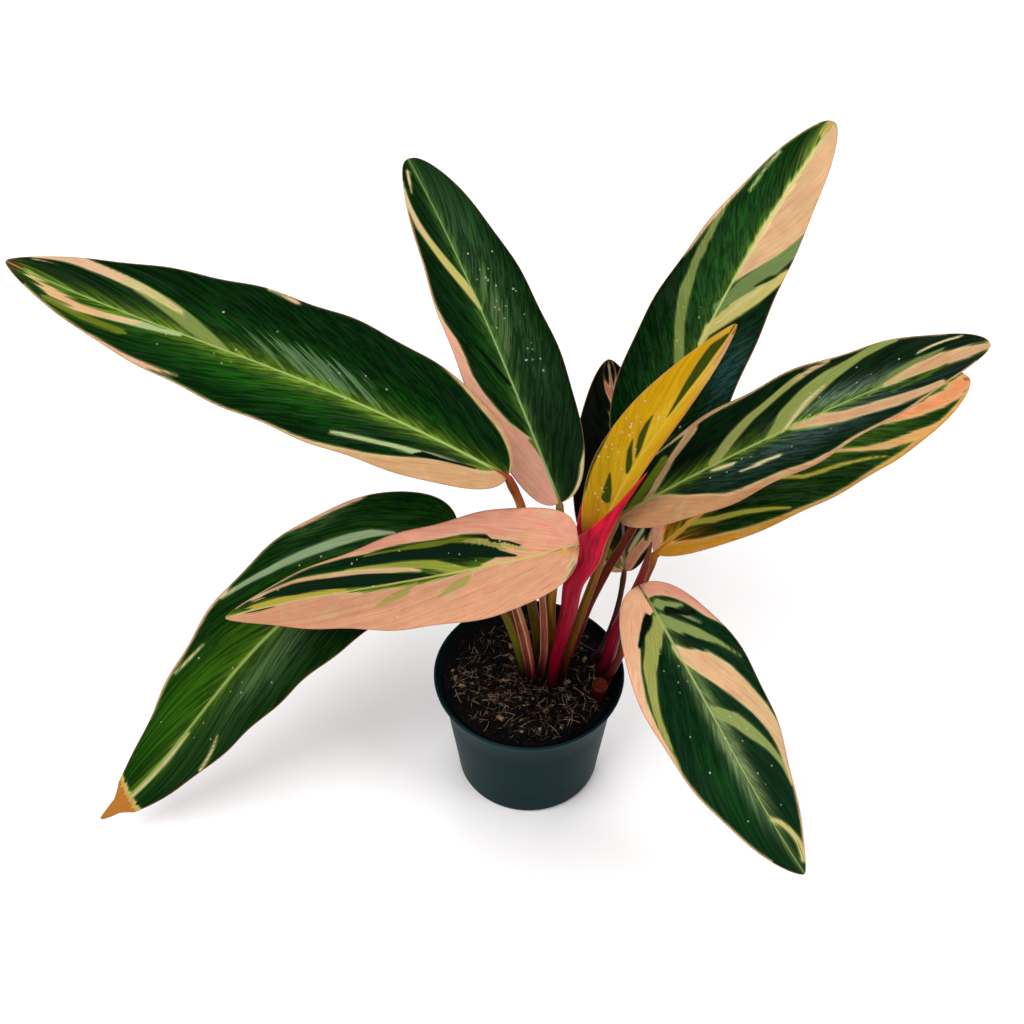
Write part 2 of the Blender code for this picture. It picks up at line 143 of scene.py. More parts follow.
@dataclass(frozen=True)
class LeafPlane:
    """Where a leaf's vertices lie on the blade spread flat."""
    s: Array
    t: Array
    length: float
    half: Callable[[Array, Array], Array]
    sweep: float
    x: Array
    y: Array
    width: Array
    vein: Array

    def to_plane(self, s: Array, t: Array) -> Array:
        """Rows of (along, across) of places on the blade."""
        return np.stack([s * self.length, t * self.half(s, t)], axis=1)


@dataclass(frozen=True)
class Stroke:
    """A streak of colour: its line by (s, t, half width)."""
    colour: Colour
    line: tuple[Triple, ...]

    def reach(self, plane: LeafPlane) -> Array:
        """Signed distance to the streak's edge, less than 0 inside it.

        Args:
            plane: The leaf's vertices.
        Returns:
            A number for each vertex.
        """
        rows = densify(self.line, 3)
        spots = plane.to_plane(rows[:, 0], rows[:, 1])
        best = np.full(plane.x.shape, FAR)
        for k in range(len(rows) - 1):
            gap, share = segment_distance(plane.x, plane.y, spots[k], spots[k + 1])
            best = np.minimum(best, gap - (rows[k, 2] * (1 - share) + rows[k + 1, 2] * share))
        return best


@dataclass(frozen=True)
class Margin:
    """Colour along one margin: its depth from the edge by (s, depth)."""
    colour: Colour
    side: Side
    depth: tuple[Pair, ...]

    def reach(self, plane: LeafPlane) -> Array:
        """Signed distance to the band's inner edge, as for a streak."""
        places, depths = zip(*self.depth)
        inner = np.interp(plane.s, places, depths, left=-2, right=-2)
        gap = (1 - np.abs(plane.t)) * plane.width - inner
        return np.where(plane.t * self.side.value > 0, gap, FAR)


@dataclass(frozen=True)
class Patch:
    """Colour inside an outline of (s, t) corners."""
    colour: Colour
    outline: tuple[Pair, ...]

    def reach(self, plane: LeafPlane) -> Array:
        """Signed distance to the outline, as for a streak."""
        rows = densify(self.outline + self.outline[:1], 8)
        spots = plane.to_plane(rows[:, 0], rows[:, 1])
        best = np.full(plane.x.shape, FAR)
        inside = np.zeros(plane.x.shape, dtype=bool)
        for a, b in zip(spots, spots[1:]):
            best = np.minimum(best, segment_distance(plane.x, plane.y, a, b)[0])
            if a[1] != b[1]:
                crossing = a[0] + (plane.y - a[1]) / (b[1] - a[1]) * (b[0] - a[0])
                inside ^= ((a[1] > plane.y) != (b[1] > plane.y)) & (plane.x < crossing)
        return np.where(inside, -best, best)


@dataclass(frozen=True)
class Feather:
    """A comb of thin soft streaks along the lateral veins, thinning out towards its edges."""
    colour: Colour
    span: Pair        # from which s to which s they leave the midrib
    reach_out: Pair   # between which |t| they run
    side: Side
    amount: float = 1.0

    def share(self, plane: LeafPlane) -> Array:
        """How much of the surface the streaks take up.

        Args:
            plane: The leaf's vertices.
        Returns:
            The shares, from 0 to 1.
        """
        root = plane.s - plane.sweep * np.abs(plane.t)
        low, high = self.span
        middle, half = (low + high) / 2, (high - low) / 2
        along = np.clip(1.25 - np.abs(root - middle) / half, 0, 1)
        near, far = self.reach_out
        out = np.abs(plane.t)
        rise = np.clip((out - near * 0.4) / max(near * 0.6, 0.02), 0, 1)
        across = rise * np.clip((far - out) / (far * 0.55), 0, 1)
        return np.where(plane.t * self.side.value > 0, self.amount * along * across**0.7, 0.0)


@dataclass(frozen=True)
class Wash:
    """A soft cloud of colour in the ground: some stand for leaf colour, some for painted sheen and some for
    painted shade.
    """
    colour: Colour
    spot: Pair
    reach: Pair       # along and across
    strength: float


Mark = Stroke | Margin | Patch


@dataclass(frozen=True)
class Painting:
    """A leaf's colours, from the ground up: ink lies over the flush, and the flush over the bands."""
    ground: Colour = DEEP_GREEN
    rib: Colour = PALE_SAGE
    rib_width: Triple = (1.4, 0.8, 0.4)
    sweep: float = 0.33              # how far a lateral vein runs on, as a share of the length
    glow: Colour = tone(104, 132, 40)    # beside the midrib
    glow_width: Triple = (3.0, 5.0, 2.5)
    fray: float = 4.5                # how far the marks' edges slip along the veins
    mottling: float = 1.0            # how strongly the ground is mottled
    dry: float = 1.0                 # from which s the tip is dried and drawn in
    fineness: float = 1.0            # how much finer than usual the blade's grid is
    washes: tuple[Wash, ...] = ()
    feathers: tuple[Feather, ...] = ()
    bands: tuple[Mark, ...] = ()
    flushes: tuple[Mark, ...] = ()
    inks: tuple[Mark, ...] = ()


@dataclass(frozen=True)
class Growth:
    """How a leaf grows: the same numbers as the leaf's solid."""
    name: str
    base: Triple
    heading: float           # of the midrib at its base, and how it turns towards the tip
    turn: float
    late_turn: float
    pitch: float             # of the midrib at its base, and how it bends towards the tip
    arch: float
    late_arch: float
    roll: float              # of the blade about its midrib
    twist: float
    length: float
    left: float              # half widths
    right: float
    shoulder: float          # fullness towards the base and towards the tip
    point: float
    fold: float
    lobe: float
    wave: float
    foot: Pair
    way: tuple[Triple, ...]
    girth: Pair


LEAVES = (
    Growth("left_long", (-13, 12, 249), 157.5, 10, -7, 19, -20, 19, 5, 20, 317, 37, 48, .45, .77, 8, 0,
        1.6, (4, 8), ((6, 8.5, 104), (1.5, 10, 141), (-5, 12, 222)), (3.8, 2.4)),
    Growth("back_left", (18, 40, 198.5), 118.5, 5, 6, 41, 1, -1, -6, -9, 225, 32, 37.5, .41, .51, 10, 0,
        1, (8.5, 16), ((10, 19, 112), (14, 25, 140), (18, 35, 175)), (3.4, 2.2)),
    Growth("back_right", (74, 61.5, 207.5), 49.5, -9, 9, 71, -48, 10, 0, -2, 233, 40, 34, .19, .58, 8, 0,
        1.2, (22.5, 11), ((29, 14, 103), (36.5, 20, 128), (47, 30, 148), (66, 49, 176)), (3.6, 2.6)),
    Growth("young_gold", (36.5, -6, 198.5), 7.5, 13, 29, 84, -47, 1, -33, -8, 175, 21, 6, .71, .79, 20, 0,
        .6, (14.5, -7.5), ((15.8, -7.7, 106), (19.6, -7.7, 130), (23.4, -7.5, 156), (27, -7, 180)),
        (1.7, 1.4)),
    Growth("right_upper", (50, 4, 224.5), 8, -11, -6, 34, -1, 0, 1, 7, 230, 41.5, 41, .55, .58, 8, 0, 1.3,
        (20.5, 1), ((26, 1, 116), (33, 2, 149), (40, 3, 180), (45, 4, 205)), (3.4, 2.3)),
    Growth("right_lower", (75.5, 20, 176), 37, -8, -1, 23, -37, 1, -4, -15, 254, 41, 42, .67, .74, 10, 0,
        1.3, (47, 10), ((55, 7.5, 103), (61, 10, 126), (68, 15, 149)), (3, 2.4)),
    Growth("back_small", (61.5, 61, 114), 96.5, 14, 3, 69, -3, 0, -3, 4, 145, 31.5, 23.5, .49, .66, 10, 0,
        .8, (39.5, 9.5), ((46, 17, 90.5), (53, 31, 96), (58.5, 48, 103)), (2.2, 1.7)),
    Growth("left_drooping", (-41.5, 10.5, 201), 182, 50, -33, -9, -89, 67, 11, 2, 309, 43.5, 46, .35, .79,
        8, 0, 1.5, (-3, 1.5), ((-4.7, 1.2, 103), (-13.7, 3, 138), (-30, 8, 176)), (4.2, 2.5)),
    Growth("front_pink", (19, -33, 237.5), 179.5, -5, 14, -21, 12, -5, 0, -1, 204, 41, 40, .31, .83, 8, 8,
        1.2, (13, 7), ((13.6, 6.5, 116), (13.3, -1, 154), (15, -15, 196)), (3.2, 1.9)),
    Growth("front_right", (68.5, -9, 170), -57, 5, 9, -26, -24, 10, 8, -3, 189, 39, 42.5, .45, .79, 8, 8,
        1.2, (48.5, -6), ((52, -8, 100), (57, -8, 118), (62, -9, 146)), (2.5, 2.2)),
)

LEFT_LONG = Painting(
    rib=tone(150, 172, 96), rib_width=(1, .55, .3), sweep=.33, fray=3,
    washes=(
        Wash(MID_GREEN, (.47, -.3), (62, 12), .8),
        Wash(MID_GREEN, (.2, .2), (30, 8), .4),
        Wash(MOSS, (.83, -.5), (26, 6), .5),
        Wash(MID_GREEN, (.7, -.2), (40, 10), .35),
        Wash(tone(106, 142, 44), (.4, -.03), (58, 3.2), .85),
        Wash(MID_GREEN, (.5, .3), (60, 9), .3)),
    feathers=(Feather(SAGE, (.06, .56), (.08, .66), Side.RIGHT),),
    bands=(
        Stroke(SOFT_OLIVE, ((.56, 0, 1.2), (.59, .06, 2.8), (.64, .18, 4.2), (.7, .36, 4),
            (.76, .52, 2.6))),
        Stroke(PALE_SAGE, ((.65, -.03, 1), (.74, -.15, 1.6), (.78, -.24, 1.2))),
        Stroke(OLIVE, ((.75, -.5, 1.6), (.83, -.62, 2.4), (.9, -.7, 1.8))),
        Stroke(PALE_SAGE, ((.32, -.7, .8), (.2, -.5, 1.6), (.1, -.35, 1.2))),
        Stroke(OLIVE, ((.01, -.1, 2), (.07, -.35, 3)))),
    flushes=(
        Stroke(tone(184, 170, 110), ((.66, .3, .6), (.72, .44, 1.8), (.79, .61, 2.4))),
        Stroke(tone(208, 158, 130), ((.79, .61, 2.2), (.85, .76, 2.8), (.9, .95, 3), (.96, 1, 1))),
        Stroke(tone(212, 158, 116), ((.73, -.13, .8), (.84, -.4, 1.8), (.9, -.42, 1.9),
            (.95, -.2, .8))),
        Margin(tone(190, 150, 106), Side.LEFT, ((0, 16), (.05, 15), (.1, 19), (.15, 15), (.2, 10),
            (.25, 5.5), (.3, 3), (.38, 1.4), (.45, .8), (.95, .7))),
        Margin(TAN, Side.RIGHT, ((0, 5), (.1, 4.5), (.17, 1.5), (.2, 0))),
        Stroke(PINK, ((.478, .94, .3), (.49, .96, 1.3), (.54, 1, .9))),
        Stroke(PINK, ((.615, -.82, .3), (.65, -.88, 1), (.7, -.94, 1.2), (.8, -1, .9)))),
    inks=(
        Stroke(BLACK_GREEN, ((.16, -.47, 1.8), (.06, -.28, .5))),
        Stroke(tone(84, 40, 22), ((.962, 0, .6), (.98, 0, 2.2), (1, 0, 2))),
        Stroke(BROWN, ((0, 0, 2.5), (.012, 0, 1)))))
BACK_LEFT = Painting(
    rib=tone(150, 172, 112), rib_width=(1, .5, .2), sweep=.33, fray=3, glow=tone(78, 116, 50),
    glow_width=(2.5, 4, 2),
    washes=(
        Wash(tone(22, 66, 18), (.6, .35), (60, 16), .5),
        # painted sheen: greyish wash for light reflected off the wet right half
        Wash(tone(62, 92, 62), (.78, .35), (42, 14), .4),
        Wash(MID_GREEN, (.42, -.3), (34, 8), .4),
        # painted sheen: greyish wash for light reflected off the right half
        Wash(tone(46, 78, 44), (.42, .55), (34, 9), .4)),
    feathers=(Feather(GREY_GREEN, (.2, .7), (.12, .7), Side.RIGHT),),
    bands=(
        Stroke(STRAW, ((.56, 0, .8), (.6, -.06, 2.2), (.64, -.15, 2.8), (.7, -.35, 2.4),
            (.76, -.55, 2), (.82, -.75, 1.4))),),
    flushes=(
        Stroke(CREAM, ((.78, -.62, 1), (.82, -.75, 1.6), (.88, -.9, 1.2), (.93, -1, 1))),
        Margin(BRIGHT_PINK, Side.LEFT, ((0, 30), (.13, 30), (.17, 27), (.2, 24), (.25, 17), (.3, 13),
            (.35, 9.5), (.4, 7.5), (.45, 7), (.5, 6), (.56, 2.5), (.62, .8), (.95, .6))),
        Stroke(CREAM, ((.92, -.7, .6), (.97, -.6, .8))),
        Margin(CREAM, Side.RIGHT, ((0, 3), (.08, 2.6), (.11, .6), (.13, -1)))),
    inks=(
        Stroke(OLIVE, ((.14, -.02, .8), (.18, -.1, 1.4), (.2, -.2, .5))),
        Stroke(BLACK_GREEN, ((.34, -.05, 1), (.42, -.3, 1.2), (.5, -.55, .5)))))
BACK_RIGHT = Painting(
    rib=tone(186, 192, 120), rib_width=(1, .7, .3), sweep=.2, fray=1.6, glow=tone(74, 112, 36),
    washes=(
        # painted highlight: bluish-grey wet sheen on the right half near the base
        Wash(tone(40, 74, 74), (.33, .75), (22, 9), .7),
        Wash(tone(26, 78, 22), (.62, -.4), (66, 12), .75),
        Wash(tone(30, 74, 28), (.2, -.4), (30, 10), .4),
        Wash(tone(150, 160, 80), (.93, -.05), (14, 4), .8)),
    feathers=(Feather(SAGE, (.05, .3), (.1, .6), Side.RIGHT),),
    bands=(
        Stroke(tone(108, 130, 74), ((.46, 0, 3), (.54, .3, 5), (.6, .6, 5), (.66, .85, 4),
            (.7, 1, 2))),
        Stroke(STRAW, ((.36, 0, 1.5), (.4, .03, 3), (.47, .3, 4.6), (.53, .6, 4.6), (.58, .85, 3),
            (.62, 1, 1))),
        Stroke(SOFT_OLIVE, ((.24, -.06, 1.2), (.3, -.2, 3), (.37, -.4, 3.2), (.45, -.6, 3),
            (.535, -.75, 2.6), (.625, -.84, 1.8), (.67, -.9, 1.4), (.7, -.98, 1)))),
    flushes=(
        Patch(BRIGHT_PEACH, ((.535, 0), (.585, .3), (.64, .6), (.69, .85), (.74, 1.1), (.85, 1.2),
            (1, 1.2), (1.02, 0), (.96, .1), (.93, .03), (.75, .01))),
        Margin(BRIGHT_PINK, Side.LEFT, ((.52, 0), (.56, 1.4), (.66, 2.2), (.76, 1.2), (.8, .4),
            (.98, .4))),
        Stroke(PALE_SAGE, ((.75, -.75, .5), (.87, -.9, .5))),
        Stroke(CREAM, ((.42, .1, .3), (.5, .38, .7), (.56, .68, .4))),
        Stroke(tone(236, 208, 140), ((.555, .02, .8), (.68, .05, 2.4), (.82, .05, 2),
            (.92, .05, .8))),
        Stroke(tone(170, 130, 40), ((.965, 0, 2.4), (1, 0, 2.4)))),
    inks=(Stroke(tone(16, 48, 20), ((.55, .5, .4), (.585, .72, 1.2), (.6, .84, .4))),))
YOUNG_GOLD = Painting(
    ground=GOLD, rib=tone(202, 166, 52), rib_width=(1, .8, .4), sweep=.3, glow=tone(200, 158, 28),
    fray=.5, mottling=.22, fineness=1.7,
    washes=(
        Wash(DARK_GOLD, (.12, -.3), (34, 14), .9),
        Wash(tone(204, 168, 52), (.55, -.1), (26, 4), .7),
        Wash(tone(214, 170, 112), (.88, .3), (18, 4), .9),
        Wash(tone(170, 140, 20), (.36, -.6), (24, 6), .5)),
    bands=(
        Margin(tone(188, 92, 32), Side.RIGHT, ((.42, 0), (.5, .7), (.75, .7), (.8, 0))),
        Stroke(TAN, ((.86, .5, .4), (.92, .4, .9), (.98, .2, .6)))),
    inks=(
        Stroke(DARK_OLIVE, ((.64, -.04, .2), (.7, -.09, .9), (.77, -.17, 1.9), (.84, -.26, 2.6),
            (.9, -.36, 2.5), (.945, -.3, 1.2), (.965, -.2, .3))),
        Stroke(DARK_OLIVE, ((.465, -.08, .3), (.5, -.16, 1.4), (.54, -.26, 1.7), (.585, -.34, 1.1),
            (.62, -.38, .25))),
        Stroke(DARK_OLIVE, ((.405, -.06, 1.2), (.44, -.16, 1.7), (.475, -.3, 1.3), (.515, -.4, .25))),
        Stroke(DARK_OLIVE, ((.27, -.24, 2.6), (.31, -.3, 2.2), (.345, -.38, 1.2), (.37, -.44, .2))),
        Margin(DARK_OLIVE, Side.LEFT, ((.22, 0), (.27, 1.6), (.42, 1.6), (.5, .2))),
        Stroke(BROWN, ((.975, 0, 1.4), (1, 0, 1)))))
RIGHT_UPPER = Painting(
    ground=tone(6, 32, 10), rib=tone(150, 164, 90), rib_width=(1.2, .7, .3), sweep=.33, fray=2.6,
    washes=(
        # painted sheen: grey-blue wash for light reflected off the lower half
        Wash(tone(74, 96, 98), (.55, .35), (56, 12), .45),
        Wash(tone(112, 132, 116), (.63, -.12), (30, 7), .7),
        # painted shade: near-black over the upper half by the base, between the tan streak and the margin
        Wash(BLACK_GREEN, (.2, -.4), (26, 12), .7)),
    feathers=(Feather(GREY_GREEN, (.3, .72), (.1, .6), Side.RIGHT),),
    bands=(
        Stroke(OLIVE, ((.04, -.08, 2), (.1, -.4, 3), (.16, -.7, 3))),
        Stroke(tone(146, 152, 84), ((.28, -.05, 3), (.34, -.3, 3.5), (.4, -.5, 3), (.47, -.65, 2.5),
            (.54, -.8, 2))),
        Stroke(tone(132, 144, 74), ((.43, 0, 1.5), (.45, -.03, 4), (.5, -.25, 6), (.56, -.45, 6),
            (.62, -.65, 5), (.7, -.85, 3), (.78, -.97, 1.5))),
        Stroke(tone(104, 124, 66), ((.7, .1, 1), (.76, -.12, 3), (.83, -.3, 2.4), (.88, -.4, 1)))),
    flushes=(
        Stroke(TAN, ((.09, -.03, 1.4), (.14, -.35, 2), (.19, -.65, 2), (.25, -.88, 3))),
        Margin(TAN, Side.LEFT, ((.14, 0), (.2, 2), (.25, 3), (.35, 2.5), (.45, 1), (.55, 1),
            (.9, .6))),
        Stroke(TAN, ((.52, -.74, .8), (.57, -.86, 1.4), (.61, -.93, 1))),
        Stroke(CREAM, ((.47, .02, .7), (.55, -.32, .8), (.6, -.48, .5))),
        Stroke(CREAM, ((.83, -.5, .7), (.93, -.85, .7))),
        Stroke(PEACH, ((.74, 0, 1.4), (.81, -.05, 4), (.88, -.08, 6), (.95, 0, 6), (1, 0, 3))),
        Stroke(PEACH, ((.5, .03, 1.5), (.57, .15, 4.6), (.64, .35, 4.6), (.72, .5, 4.3), (.8, .65, 4),
            (.88, .85, 3))),
        Margin(TAN, Side.RIGHT, ((0, 34), (.05, 30), (.1, 26), (.15, 24), (.2, 19), (.25, 15),
            (.3, 10), (.35, 8), (.4, 7), (.45, 6), (.5, 5), (.6, 3), (.7, 2), (.8, 1.5), (.97, 1))),
        Stroke(CREAM, ((.27, .1, .5), (.33, .2, 1.2))),
        Stroke(CREAM, ((.35, .44, .6), (.45, .5, 1.3)))),
    inks=(Stroke(MOSS, ((.76, .3, 1), (.84, .26, 1.6), (.9, .2, .6))),))
RIGHT_LOWER = Painting(
    ground=tone(20, 54, 8), rib=tone(206, 150, 60), rib_width=(1.8, 1, .4), sweep=.25, fray=1,
    washes=(
        Wash(tone(190, 110, 24), (.03, .1), (18, 16), .9),
        Wash(MOSS, (.6, .4), (44, 10), .6),
        Wash(BLACK_GREEN, (.2, .2), (24, 8), .6)),
    feathers=(
        Feather(MOSS, (.1, .8), (.1, .9), Side.RIGHT),
        Feather(MOSS, (.1, .8), (.1, .9), Side.LEFT)),
    bands=(
        Stroke(tone(170, 165, 60), ((.11, 0, 2), (.155, .3, 2), (.22, .5, 1.8), (.28, .72, 1.2),
            (.31, .85, .7))),
        Stroke(tone(170, 165, 60), ((.33, .22, 1.2), (.36, .33, 1.3), (.4, .5, 1.2), (.465, .58, 1.2),
            (.527, .68, 1), (.58, .78, .7), (.62, .88, .3)))),
    flushes=(
        Margin(tone(214, 154, 44), Side.RIGHT, ((0, 14), (.05, 12), (.1, 9), (.15, 8), (.2, 6),
            (.3, 3), (.4, 2), (.5, 2), (.6, 3), (.8, 3), (.97, 2))),
        Stroke(tone(226, 164, 86), ((.49, .28, .8), (.515, .4, 1.1), (.575, .58, 1.5), (.63, .7, 2.1),
            (.71, .82, 3), (.775, .94, 3.4), (.83, 1, 2))),
        Stroke(tone(224, 146, 94), ((.645, .27, .5), (.7, .36, 2.4), (.78, .42, 4), (.86, .46, 5),
            (.92, .46, 5), (.97, .25, 5), (1.01, 0, 4))),
        Margin(PINK, Side.LEFT, ((0, 9), (.1, 7), (.2, 3), (.3, 1), (.9, 1)))),
    inks=(Stroke(MOSS, ((.8, .05, .8), (.87, .14, .5))), Stroke(BROWN, ((.985, 0, 1.4), (1, 0, 1)))))
BACK_SMALL = Painting(
    # near-black ground and glow: painted shade over a dark green leaf that stands in the others' shade
    ground=tone(9, 13, 7), glow=tone(18, 28, 12), rib=tone(110, 112, 84), rib_width=(1, .8, .4),
    sweep=.3,
    washes=(Wash(tone(24, 12, 16), (.4, .3), (34, 12), .6), Wash(MOSS, (.1, -.4), (12, 8), .4)),
    bands=(
        Stroke(GREY_GREEN, ((.65, -.12, .6), (.85, -.12, .8))),
        Stroke(PALE_SAGE, ((.08, .08, .8), (.14, .35, 1.4), (.2, .6, .8))),
        Stroke(OLIVE, ((.04, -.2, 2), (.12, -.5, 2.4)))),
    flushes=(
        Stroke(tone(200, 116, 98), ((.8, -.05, 1), (.86, -.05, 3), (.93, -.02, 2), (.97, 0, 1))),
        Margin(PEACH, Side.LEFT, ((0, 8), (.08, 6), (.15, 3), (.22, 1), (.3, 0))),
        Stroke(tone(200, 120, 96), ((0, .1, 3), (.08, .4, 4), (.14, .8, 3))),
        Stroke(TAN, ((.14, .9, 1), (.22, .92, .8)))))
LEFT_DROOPING = Painting(
    ground=tone(14, 48, 9), rib=tone(142, 160, 84), rib_width=(1.4, 1.2, .6), sweep=.5, fray=1.4,
    dry=.925, glow=tone(84, 118, 30),
    washes=(
        Wash(tone(48, 94, 8), (.68, .4), (60, 14), .8),
        Wash(tone(42, 76, 30), (.6, -.35), (56, 14), .6),
        Wash(tone(30, 74, 12), (.3, .3), (50, 12), .6),
        # painted sheen: greyish wash for light reflected off the left half
        Wash(tone(80, 104, 70), (.45, -.45), (40, 10), .35),
        Wash(tone(60, 84, 50), (.24, .9), (16, 5), .6)),
    feathers=(
        Feather(tone(80, 108, 60), (.02, .5), (.1, .8), Side.LEFT),
        Feather(MOSS, (.02, .7), (.1, .9), Side.RIGHT)),
    bands=(
        Stroke(tone(134, 156, 116), ((.12, .3, .6), (.16, .4, 2.2), (.24, .5, 3), (.31, .6, 2.4),
            (.37, .7, 1.9), (.43, .85, 1.5), (.48, .95, 1))),),
    flushes=(
        Margin(PINK, Side.RIGHT, ((.15, 0), (.17, 2.2), (.28, 2), (.31, .4), (.45, .4), (.48, 1.3),
            (.72, 1.2), (.78, .2))),
        Stroke(CREAM, ((.45, .9, .4), (.48, .97, .8))),
        Stroke(CREAM, ((.57, .73, .2), (.615, .82, .7), (.66, .9, .2))),
        Stroke(CREAM, ((.66, -.62, .2), (.7, -.8, .7), (.74, -.96, .7))),
        Stroke(tone(186, 176, 130), ((.72, -.06, .4), (.8, -.1, 1.2), (.915, -.12, .8))),
        Patch(tone(198, 160, 84), ((.905, -1.3), (.915, 0), (.905, 1.3), (.95, 1.3), (.95, -1.3)))),
    inks=(
        Patch(tone(184, 120, 48), ((.918, -1.3), (.926, 0), (.918, 1.3), (1.02, 1.3), (1.02, -1.3))),
        Stroke(tone(96, 54, 34), ((.972, 0, 1.6), (1, 0, 1.6)))))
FRONT_PINK = Painting(
    ground=tone(10, 38, 14), rib=tone(186, 172, 100), rib_width=(1.3, .7, .3), sweep=.6, fray=3,
    washes=(Wash(MID_GREEN, (.66, .4), (30, 6), .4),),
    bands=(
        Stroke(tone(140, 150, 60), ((.28, 0, 1.4), (.32, .05, 3), (.38, .2, 3), (.45, .3, 2.5),
            (.55, .4, 2), (.64, .5, 1))),
        Stroke(OLIVE, ((.24, .45, 1.5), (.32, .58, 2), (.42, .6, 2), (.52, .66, 1.8),
            (.6, .75, 1.2))),
        Stroke(tone(170, 160, 60), ((.64, .02, .8), (.68, .05, 2), (.76, .12, 3), (.84, .15, 3),
            (.92, .2, 2)))),
    flushes=(
        Patch(tone(206, 151, 116), ((-.02, -1.2), (-.02, .2), (.04, 1.2), (.16, 1.2), (.17, .32),
            (.25, -.02), (.42, -.12), (.6, -.12), (.65, 0), (.75, .04), (.9, .04), (1.02, 0),
            (1.02, -1.2), (.5, -1.3))),
        Margin(PINK, Side.RIGHT, ((0, 30), (.14, 28), (.17, 24), (.2, 25), (.23, 17.5), (.3, 14),
            (.41, 11.5), (.5, 9), (.59, 6.6), (.65, 2.8), (.75, .8), (.97, .6))),
        Stroke(PEACH, ((.42, .14, .6), (.45, .2, 1.2), (.5, .25, 1.6), (.6, .38, 1.8), (.7, .5, 1.8),
            (.78, .6, 2), (.86, .7, 1.5), (.92, .8, 1))),
        Stroke(tone(216, 152, 92), ((0, 0, 6), (.06, -.4, 6), (.1, -.9, 4))),
        Margin(PINK, Side.LEFT, ((.05, 1), (.15, 2.4), (.7, 2.4), (.95, 1)))),
    inks=(
        Stroke(tone(10, 32, 18), ((.15, .09, .5), (.19, .17, 2), (.24, .28, 4), (.32, .37, 4.6),
            (.4, .45, 4.2), (.5, .55, 3.6), (.6, .65, 2.5), (.66, .75, 1))),
        Stroke(tone(10, 32, 18), ((.13, .24, .3), (.16, .33, 1.3), (.21, .42, 1.4), (.26, .46, .4))),
        Stroke(tone(150, 146, 76), ((.165, .2, .4), (.2, .34, 1.6), (.25, .46, 1.8), (.3, .54, .6))),
        Stroke(tone(168, 156, 92), ((.1, .1, .3), (.13, .2, 1.1), (.17, .32, 1.4), (.22, .46, .3))),
        Stroke(tone(10, 34, 16), ((.36, -.02, .5), (.42, .05, 2), (.5, .1, 3.3), (.6, .2, 4.3),
            (.7, .3, 4.3), (.8, .45, 4), (.88, .6, 2))),
        Stroke(tone(164, 150, 84), ((.27, -.1, .6), (.31, -.26, 3.4), (.37, -.46, 1))),
        Stroke(tone(164, 150, 84), ((.43, -.08, .8), (.48, -.28, 3.2), (.55, -.5, 1))),
        Stroke(tone(40, 50, 30), ((.86, -.06, .6), (.9, -.1, 1.2), (.94, -.1, .5)))))
FRONT_RIGHT = Painting(
    ground=tone(5, 42, 16), rib=tone(152, 166, 104), rib_width=(1.1, .6, .3), sweep=.45, fray=2.6,
    glow=tone(72, 104, 50), glow_width=(3, 3.6, 2), mottling=.8,
    washes=(
        Wash(tone(84, 116, 80), (.66, .12), (24, 5), .6),
        Wash(BLACK_GREEN, (.14, -.3), (18, 10), .6),
        Wash(tone(168, 184, 128), (.53, 0), (42, 4.4), .9),
        Wash(MID_GREEN, (.62, .5), (30, 9), .35)),
    feathers=(
        Feather(SAGE, (.25, .62), (.02, .26), Side.LEFT, .8),
        Feather(SAGE, (.25, .62), (.02, .26), Side.RIGHT, .8)),
    bands=(
        Stroke(tone(126, 144, 80), ((.03, -.08, 1), (.045, -.22, 2.2), (.065, -.45, 1.5),
            (.085, -.66, .3))),
        Stroke(tone(126, 144, 80), ((.08, -.03, 2), (.1, -.12, 3.6), (.14, -.32, 3.4),
            (.18, -.52, 2.4), (.23, -.7, 1.4), (.31, -.9, .3))),
        Stroke(tone(116, 138, 88), ((.09, -.42, .4), (.12, -.56, 1.1), (.15, -.68, .3))),
        Stroke(tone(136, 150, 84), ((.4, -.04, 1), (.42, -.08, 3), (.47, -.3, 4), (.53, -.45, 3.5),
            (.6, -.65, 2), (.68, -.85, 1.2), (.75, -.95, .8))),
        Stroke(tone(152, 156, 80), ((.08, .05, 2), (.1, .1, 4), (.14, .35, 5), (.2, .6, 4),
            (.27, .72, 3), (.34, .82, 2), (.42, .9, 1.2), (.5, .97, .7)))),
    flushes=(
        Margin(PINK, Side.LEFT, ((0, 12), (.08, 7), (.14, 4.5), (.18, 1), (.2, 0))),
        Stroke(BRIGHT_PEACH, ((.18, .02, 1), (.21, -.05, 4), (.27, -.3, 7.4), (.34, -.5, 7.6),
            (.41, -.65, 6.6), (.48, -.78, 5.2), (.56, -.88, 4), (.64, -.95, 3), (.75, -1, 1.5))),
        Margin(PINK, Side.LEFT, ((.66, .2), (.7, 1), (.95, 1), (.98, .4))),
        Stroke(STRAW, ((.8, -.03, .8), (.83, -.25, 1.2), (.87, -.45, 1.2), (.92, -.7, 1.4),
            (.97, -.8, 1))),
        Margin(tone(228, 178, 138), Side.RIGHT, ((0, 30), (.05, 25), (.1, 14), (.15, 12), (.2, 9),
            (.25, 7), (.3, 5), (.35, 4), (.4, 3), (.45, 2), (.5, 1), (.9, .7)))),
    inks=(
        Stroke(BLACK_GREEN, ((.06, .2, 1.6), (.09, .4, 2.2), (.13, .65, 1))),
        Stroke(BLACK_GREEN, ((.07, -.25, 1.4), (.1, -.5, 1.6), (.12, -.75, .6)))))

PAINTINGS = {
    "left_long": LEFT_LONG, "back_left": BACK_LEFT, "back_right": BACK_RIGHT, "young_gold": YOUNG_GOLD,
    "right_upper": RIGHT_UPPER, "right_lower": RIGHT_LOWER, "back_small": BACK_SMALL,
    "left_drooping": LEFT_DROOPING, "front_pink": FRONT_PINK, "front_right": FRONT_RIGHT,
}

